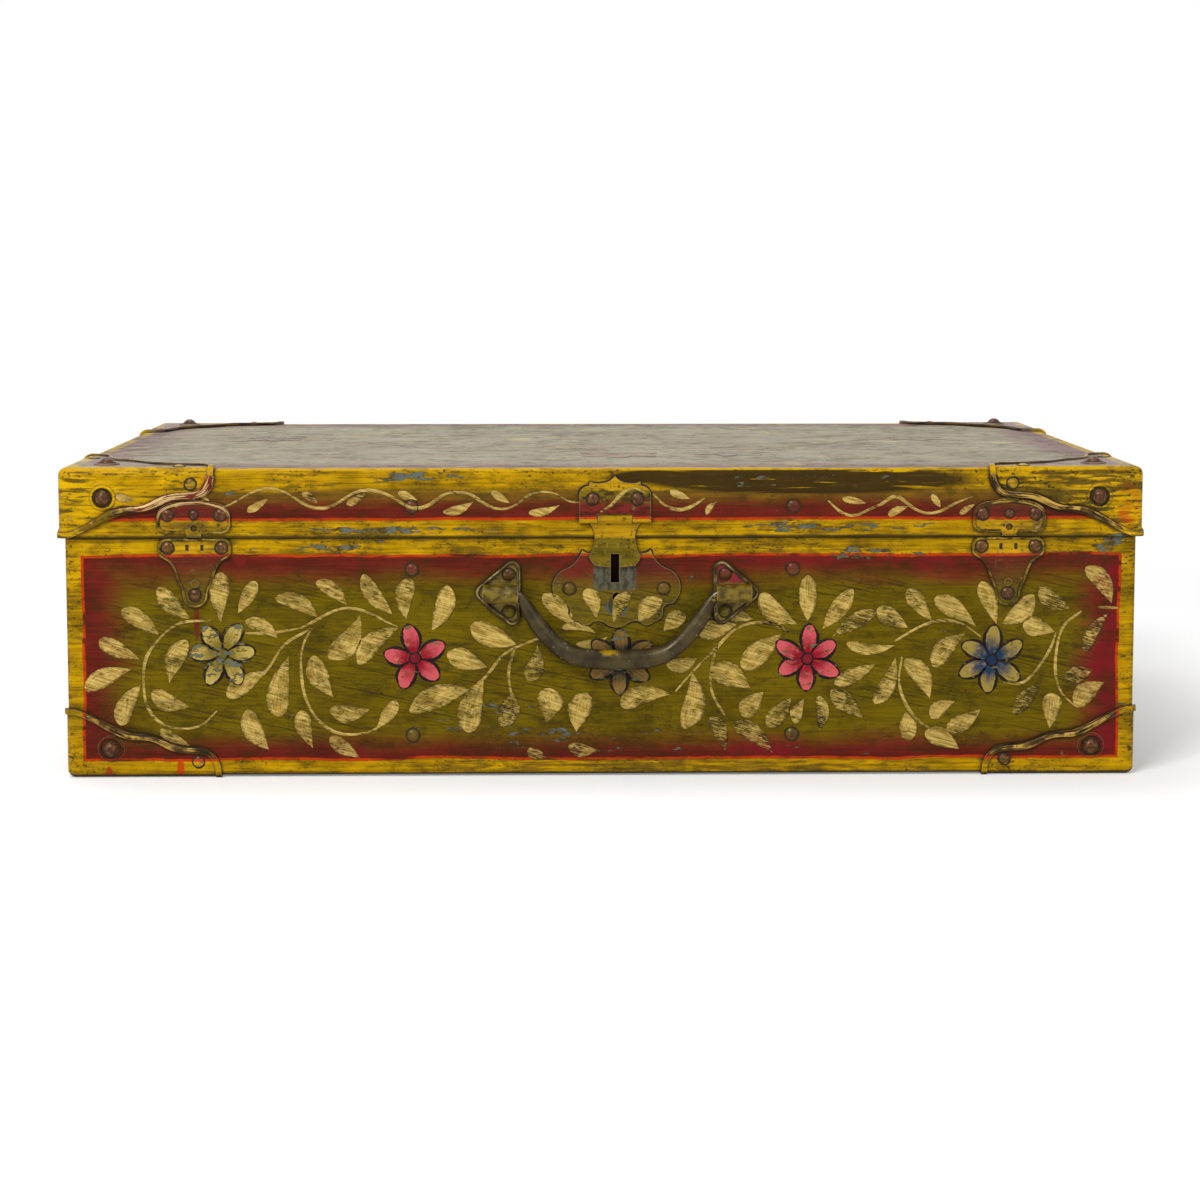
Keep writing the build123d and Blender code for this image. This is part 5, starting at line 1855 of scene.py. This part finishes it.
@dataclass
class Clasps(Assembly):
    """The clasp plates on the lid and the catch plates on the body, each with a rolled rim."""

    finishes = {
        "fittings": ("clasp_plate_left", "clasp_plate_right", "catch_plate_left", "catch_plate_right"),
        "studs": ("clasp_rivets", "catch_rivets")}
    middle: float = 249.5
    half: float = 22.3
    inset: float = 0.8
    bead: float = 1.05
    corner: float = 5.0
    out: float = 1.15           # rim in front of the sheet
    foot: float = 2.6           # foot of the clasp plate above the parting
    toe: float = 6.8            # radius of the catch plate's toe
    toe_down: float = 35.4

    def outline(self, upper: bool) -> np.ndarray:
        """The right half of a plate's rim, from the middle of its top to that of its foot.

        Args:
            upper: the clasp plate's rim instead of the catch plate's.

        Returns:
            Rows of x and z from the plate's middle.
        """
        edge, bend = self.half - self.inset, self.corner * (1 - 0.5**0.5)
        if upper:
            crown = fair_curve([(0, self.half - self.inset), (edge, 12.0)], (1, 0), (0, -1), 16)
            low = self.foot + self.inset
            foot = [(edge, 7.6), (edge - bend * 0.7, low + bend), (edge - 4.2, low), (5.4, low)]
            return np.vstack([crown, foot])
        high = -0.4 - self.inset
        top = [(0, high), (edge - 4.2, high), (edge - bend * 0.7, -1.2 - bend), (edge, -5.4)]
        flank = fair_curve([(edge, -9.5), (17.2 - self.inset, -13.8), (10.4 - self.inset, -27),
                            (self.toe, -self.toe_down)], (-0.3, -0.95), (0, -1), 22)
        toe = [(self.toe * math.cos(a), -self.toe_down - self.toe * math.sin(a))
               for a in np.linspace(0.2, math.pi / 2, 8)]
        return np.vstack([top, flank, toe])

    def build(self, nodes: Nodes, paints: Paints) -> list[Piece]:
        """Rolls the rims."""
        pieces = []
        for side, x in (("left", -self.middle), ("right", self.middle)):
            for upper in (True, False):
                right = self.outline(upper)
                left = right[::-1] * (-1, 1)
                loop = np.vstack([left[:-1], right] if upper else [right, left[1:-1]]) + (x, PARTING)
                name = f"{'clasp' if upper else 'catch'}_rim_{side}"
                out, body = (LID_STEP + self.out, "lid") if upper else (self.out, "case")
                pieces.append(front_bead(name, loop, not upper, out, self.bead, self.bead, body, paints,
                                         "rims"))
        return pieces


class HaspAndLock(Assembly):
    """The hasp on the lid and the lock behind its scalloped plate, whose works are bare."""

    finishes = {
        "hasp_leaf": ("hasp_leaf",),
        "hasp_tongue": ("hasp_tongue",),
        "lock_plate": ("lock_plate",),
        "studs": ("hasp_rivets",),
        "rivets": ("lock_rivets",),
        "bare_steel": ("hasp_pin", "lock_bolt", "key_post", "bolt_spring"),
        "old_steel": ("lock_case",)}

    def build(self, nodes: Nodes, paints: Paints) -> list[Piece]:
        """Lays the dark lines round the plates."""
        return [DirtAndShadeLines().line(nodes["lock_plate"], 0.0, "case", paints),
                DirtAndShadeLines().line(nodes["hasp_leaf"], LID_STEP, "lid", paints)]


@dataclass
class Handle(Assembly):
    """The drop handle between its two brackets."""

    finishes = {
        "brackets": ("handle_bracket_left", "handle_bracket_right"),
        "rivets": ("handle_rivets",)}
    middle: float = 8.9
    height: float = 114.5
    out: float = 7.0
    half: float = 59.4
    bracket: tuple[Point, ...] = ((0, -25.5), (30.3, 0), (0, 25.5))
    bracket_round: float = 5.0
    rim_inset: float = 1.0
    rim_out: float = 1.5
    rim_half: float = 1.28
    rim_rise: float = 1.4
    line: tuple[Point, ...] = ((76, 0), (68, 0), (62, 0), (58.6, -2.8), (53, -12.2), (42.6, -26.2), (30, -36.6),
                               (15, -40.2), (0, -40.8))
    thickness: tuple[float, ...] = (2.6, 2.6, 2.65, 3.1, 4.7, 5.3, 5.8, 6.2, 6.4)

    def build(self, nodes: Nodes, paints: Paints) -> list[Piece]:
        """Forges the bail and rolls the brackets' rims."""
        pieces = []
        for side, sign in (("left", -1), ("right", 1)):
            loop = rounded_loop(self.bracket, self.bracket_round, self.rim_inset)
            loop = loop * (sign, 1) + (self.middle + sign * self.half, self.height)
            pieces.append(front_bead(f"handle_bracket_rim_{side}", loop, True, self.rim_out, self.rim_half,
                                     self.rim_rise, "case", paints, "bracket_rims"))
        right = np.column_stack([np.array(self.line), np.array(self.thickness)])
        left = right[::-1] * (-1, 1, 1)
        whole = through([tuple(row) for row in np.vstack([right, left[1:]])], 110)
        places = np.column_stack([whole[:, 0] + self.middle, np.full(len(whole), -HALF_DEPTH - self.out),
                                  whole[:, 1] + self.height])
        normals = np.tile((0.0, -1.0, 0.0), (len(whole), 1))
        steps = np.arange(len(whole))
        dents = 1 + 0.018 * np.sin(steps * 0.31) + 0.012 * np.sin(steps * 0.83)
        vertices, faces, _ = sweep(places, normals, whole[:, 2] * dents, whole[:, 2] * 0.94, False, 20)
        bail = paints.make("handle_grip", vertices, faces, "handle", "handle")
        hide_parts("handle_bail")
        return [*pieces, bail]


class Sky(Shade):
    """The node tree of a world."""

    def __init__(self, world: bpy.types.World) -> None:
        """Clears the world's tree."""
        world.use_nodes = True
        self.tree = world.node_tree
        self.tree.nodes.clear()


@dataclass(frozen=True)
class Lamp:
    """A soft panel of light: where it stands, its sides in metres, and its watts."""

    name: str
    place: Place
    sides: Point
    watts: float

    def hang(self, aim: Vector) -> None:
        """Adds the lamp, turned towards a place."""
        data = bpy.data.lights.new(self.name, "AREA")
        data.shape, data.size, data.size_y, data.energy = "RECTANGLE", *self.sides, self.watts
        lamp = bpy.data.objects.new(self.name, data)
        lamp.location = self.place
        lamp.rotation_euler = (aim - Vector(self.place)).to_track_quat("-Z", "Y").to_euler()
        bpy.context.scene.collection.objects.link(lamp)


@dataclass
class Studio:
    """Pale floor, soft lamps and the camera."""

    eye: Place = (-0.0299, -1.7335, 0.3231)
    pitch: float = 5.463        # degrees below the horizon
    yaw: float = 1.058          # degrees to the right
    lens: float = 75.46
    sensor: float = 36.0
    drop: float = 0.09          # the picture's middle below the lens axis, as a share of its side
    floor_reach: float = 12.0
    glow: float = 0.2           # the floor's own light near the chest
    sky: float = 0.36           # the white room's light on the chest
    middle: Place = (0.0, 0.0, 0.1)
    lamps: tuple[Lamp, ...] = (
        Lamp("key", (-1.1, -2.0, 2.1), (1.2, 0.8), 50), Lamp("fill", (1.5, -2.3, 0.9), (1.4, 1.2), 9),
        Lamp("overhead", (-0.3, 0.5, 2.2), (1.6, 1.1), 20),
        Lamp("glint_left", (-0.9, -1.7, 1.5), (0.5, 0.07), 3.0),
        Lamp("glint_right", (0.9, -1.5, 1.7), (0.3, 0.07), 1.6))

    def seen(self, shade: Shade) -> Value:
        """1 for what the eye sees straight on, in a gloss or through glass."""
        rays = shade.node("ShaderNodeLightPath").outputs
        return (Value(shade, rays["Is Camera Ray"]) | Value(shade, rays["Is Glossy Ray"])
                | Value(shade, rays["Is Transmission Ray"]))

    def lay_floor(self) -> None:
        """A matt floor that fades to white away from the chest."""
        mesh, reach = bpy.data.meshes.new("floor"), self.floor_reach
        mesh.from_pydata([(-reach, -reach, 0), (reach, -reach, 0), (reach, reach, 0), (-reach, reach, 0)], [],
                         [(0, 1, 2, 3)])
        floor = bpy.data.objects.new("floor", mesh)
        bpy.context.scene.collection.objects.link(floor)
        shade = Shade("floor")
        matt = shade.node("ShaderNodeBsdfDiffuse", {}, {"Color": (0.86, 0.86, 0.86)})
        glow = shade.node("ShaderNodeEmission", {}, {"Color": (1.0, 1.0, 1.0), "Strength": self.glow})
        near = shade.node("ShaderNodeAddShader", {}, {0: matt.outputs[0], 1: glow.outputs[0]})
        white = shade.node("ShaderNodeEmission", {}, {"Color": (1.0, 1.0, 1.0), "Strength": 1.0})
        away = shade.length(shade.vector("DIVIDE", shade.position, {1: (1500, 1100, 1)}))
        both = shade.node("ShaderNodeMixShader", {}, {
            0: away.rise(0.4, 0.95) & self.seen(shade), 1: near.outputs[0], 2: white.outputs[0]})
        shade.node("ShaderNodeOutputMaterial", {}, {"Surface": both.outputs[0]})
        mesh.materials.append(shade.material)

    def light_room(self) -> None:
        """A white room that is seen brighter than it shines."""
        world = bpy.data.worlds.new("studio")
        sky = Sky(world)
        back = sky.node("ShaderNodeBackground", {}, {
            "Color": (1.0, 1.0, 1.0), "Strength": self.seen(sky) * (1 - self.sky) + self.sky})
        sky.node("ShaderNodeOutputWorld", {}, {"Surface": back.outputs[0]})
        bpy.context.scene.world = world

    def set_camera(self) -> None:
        """The camera in front of the chest, with its lens shifted down."""
        data = bpy.data.cameras.new("camera")
        data.lens, data.sensor_width, data.shift_y = self.lens, self.sensor, -self.drop
        camera = bpy.data.objects.new("camera", data)
        camera.location = self.eye
        camera.rotation_euler = (math.radians(90 - self.pitch), 0.0, math.radians(-self.yaw))
        bpy.context.scene.collection.objects.link(camera)
        bpy.context.scene.camera = camera

    def build(self) -> None:
        """Sets up floor, room, lamps and camera."""
        self.lay_floor()
        self.light_room()
        for lamp in self.lamps:
            lamp.hang(Vector(self.middle))
        self.set_camera()
        bpy.context.scene.view_settings.view_transform = "Standard"


def skin_of(nodes: Nodes, names: Iterable[str]) -> BVHTree:
    """A surface that paint can be laid on.

    Args:
        nodes: the frame's pieces.
        names: those that are painted over.

    Returns:
        The surface.
    """
    vertices: list[Vector] = []
    faces: list[tuple[int, ...]] = []
    for name in names:
        base = len(vertices)
        mesh = nodes[name].data
        vertices += [vertex.co.copy() for vertex in mesh.vertices]
        faces += [tuple(base + i for i in polygon.vertices) for polygon in mesh.polygons]
    return BVHTree.FromPolygons(vertices, faces)


def palettes(coat: ChestCoat, ornament: Ornament) -> tuple[dict[Any, Material], ...]:
    """The ornament's paints for the walls, and the worn ones for the top.

    Args:
        coat: the ground under the paints.
        ornament: the flowers' paints.

    Returns:
        Materials by "leaf" and by bloom, for the walls and for the top.
    """
    fresh: dict[Any, Material] = {"leaf": LeafPaint().build(coat)}
    fresh.update({bloom: paint.build(coat) for bloom, paint in ornament.petals.items()})
    worn: dict[Any, Material] = {
        "leaf": LeafPaint("leaf_worn", srgb(180, 168, 128), srgb(164, 148, 96), srgb(140, 130, 104),
                          srgb(140, 130, 108), 0.45, 0.05).build(coat)}
    worn.update({bloom: replace(paint, ink=srgb(96, 90, 74), wash=0.6).build(coat)
                 for bloom, paint in ornament.petals.items() if bloom is not Bloom.DUSK})
    return fresh, worn


def main() -> None:
    """Builds the scene."""
    logging.basicConfig(level=logging.INFO, format="%(name)s: %(message)s")
    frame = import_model()
    nodes = frame["nodes"]
    Studio().build()
    coat = ChestCoat()
    paints = Paints(coat)
    for assembly in (Shell(), RearHinges(), HaspAndLock(), CornerCaps(), Clasps(), Handle()):
        assembly.dress(nodes, paints)
        for piece in assembly.build(nodes, paints):
            log.info("made %s", piece.name)
    for body, names in (("case", ("body_strap_rivets", "catch_rivets", "lock_rivets", "handle_rivets",
                                  "body_cap_pins", "body_cap_studs", "rear_hinge_body_rivets")),
                        ("lid", ("lid_strap_rivets", "clasp_rivets", "hasp_rivets", "lid_cap_pins",
                                 "lid_cap_studs", "rear_hinge_lid_rivets"))):
        for name in names:
            log.info("made %s", DirtAndShadeLines().rings(nodes[name], body, paints).name)

    ornament = Ornament()
    fresh, worn = palettes(coat, ornament)
    coat.put_away()
    body_skin = skin_of(nodes, ["body_wall", "body_strap_rivets", "catch_plate_left", "catch_plate_right",
                                "catch_rivets", "lock_plate", "lock_rivets", "body_cap_pins",
                                *[f"body_cap_{corner}" for corner in CORNERS]])
    lid_skin = skin_of(nodes, ["lid_sheet", "lid_strap_rivets", "clasp_plate_left", "clasp_plate_right",
                               "hasp_leaf", "hasp_rivets", "lid_cap_pins",
                               *[f"lid_cap_{corner}" for corner in CORNERS]])
    for body, slot, skin, front_layout, side_layout in (
            ("case", "painted_body", body_skin, BODY_LAYOUT, BODY_LAYOUT.between(290, 920, 606)),
            ("lid", "painted_lid", lid_skin, LID_LAYOUT, LID_LAYOUT.between(225, 600, 412))):
        for wall in (Wall.FRONT, Wall.REAR, Wall.LEFT, Wall.RIGHT):
            layout = front_layout if wall in (Wall.FRONT, Wall.REAR) else side_layout
            for piece in ornament.paint(layout, wall, skin, body, slot, fresh):
                log.info("painted %s", piece.name)
    for piece in ornament.paint(TOP_LAYOUT, Wall.TOP, lid_skin, "lid", "painted_lid", worn):
        log.info("painted %s", piece.name)


if __name__ == "__main__":
    main()
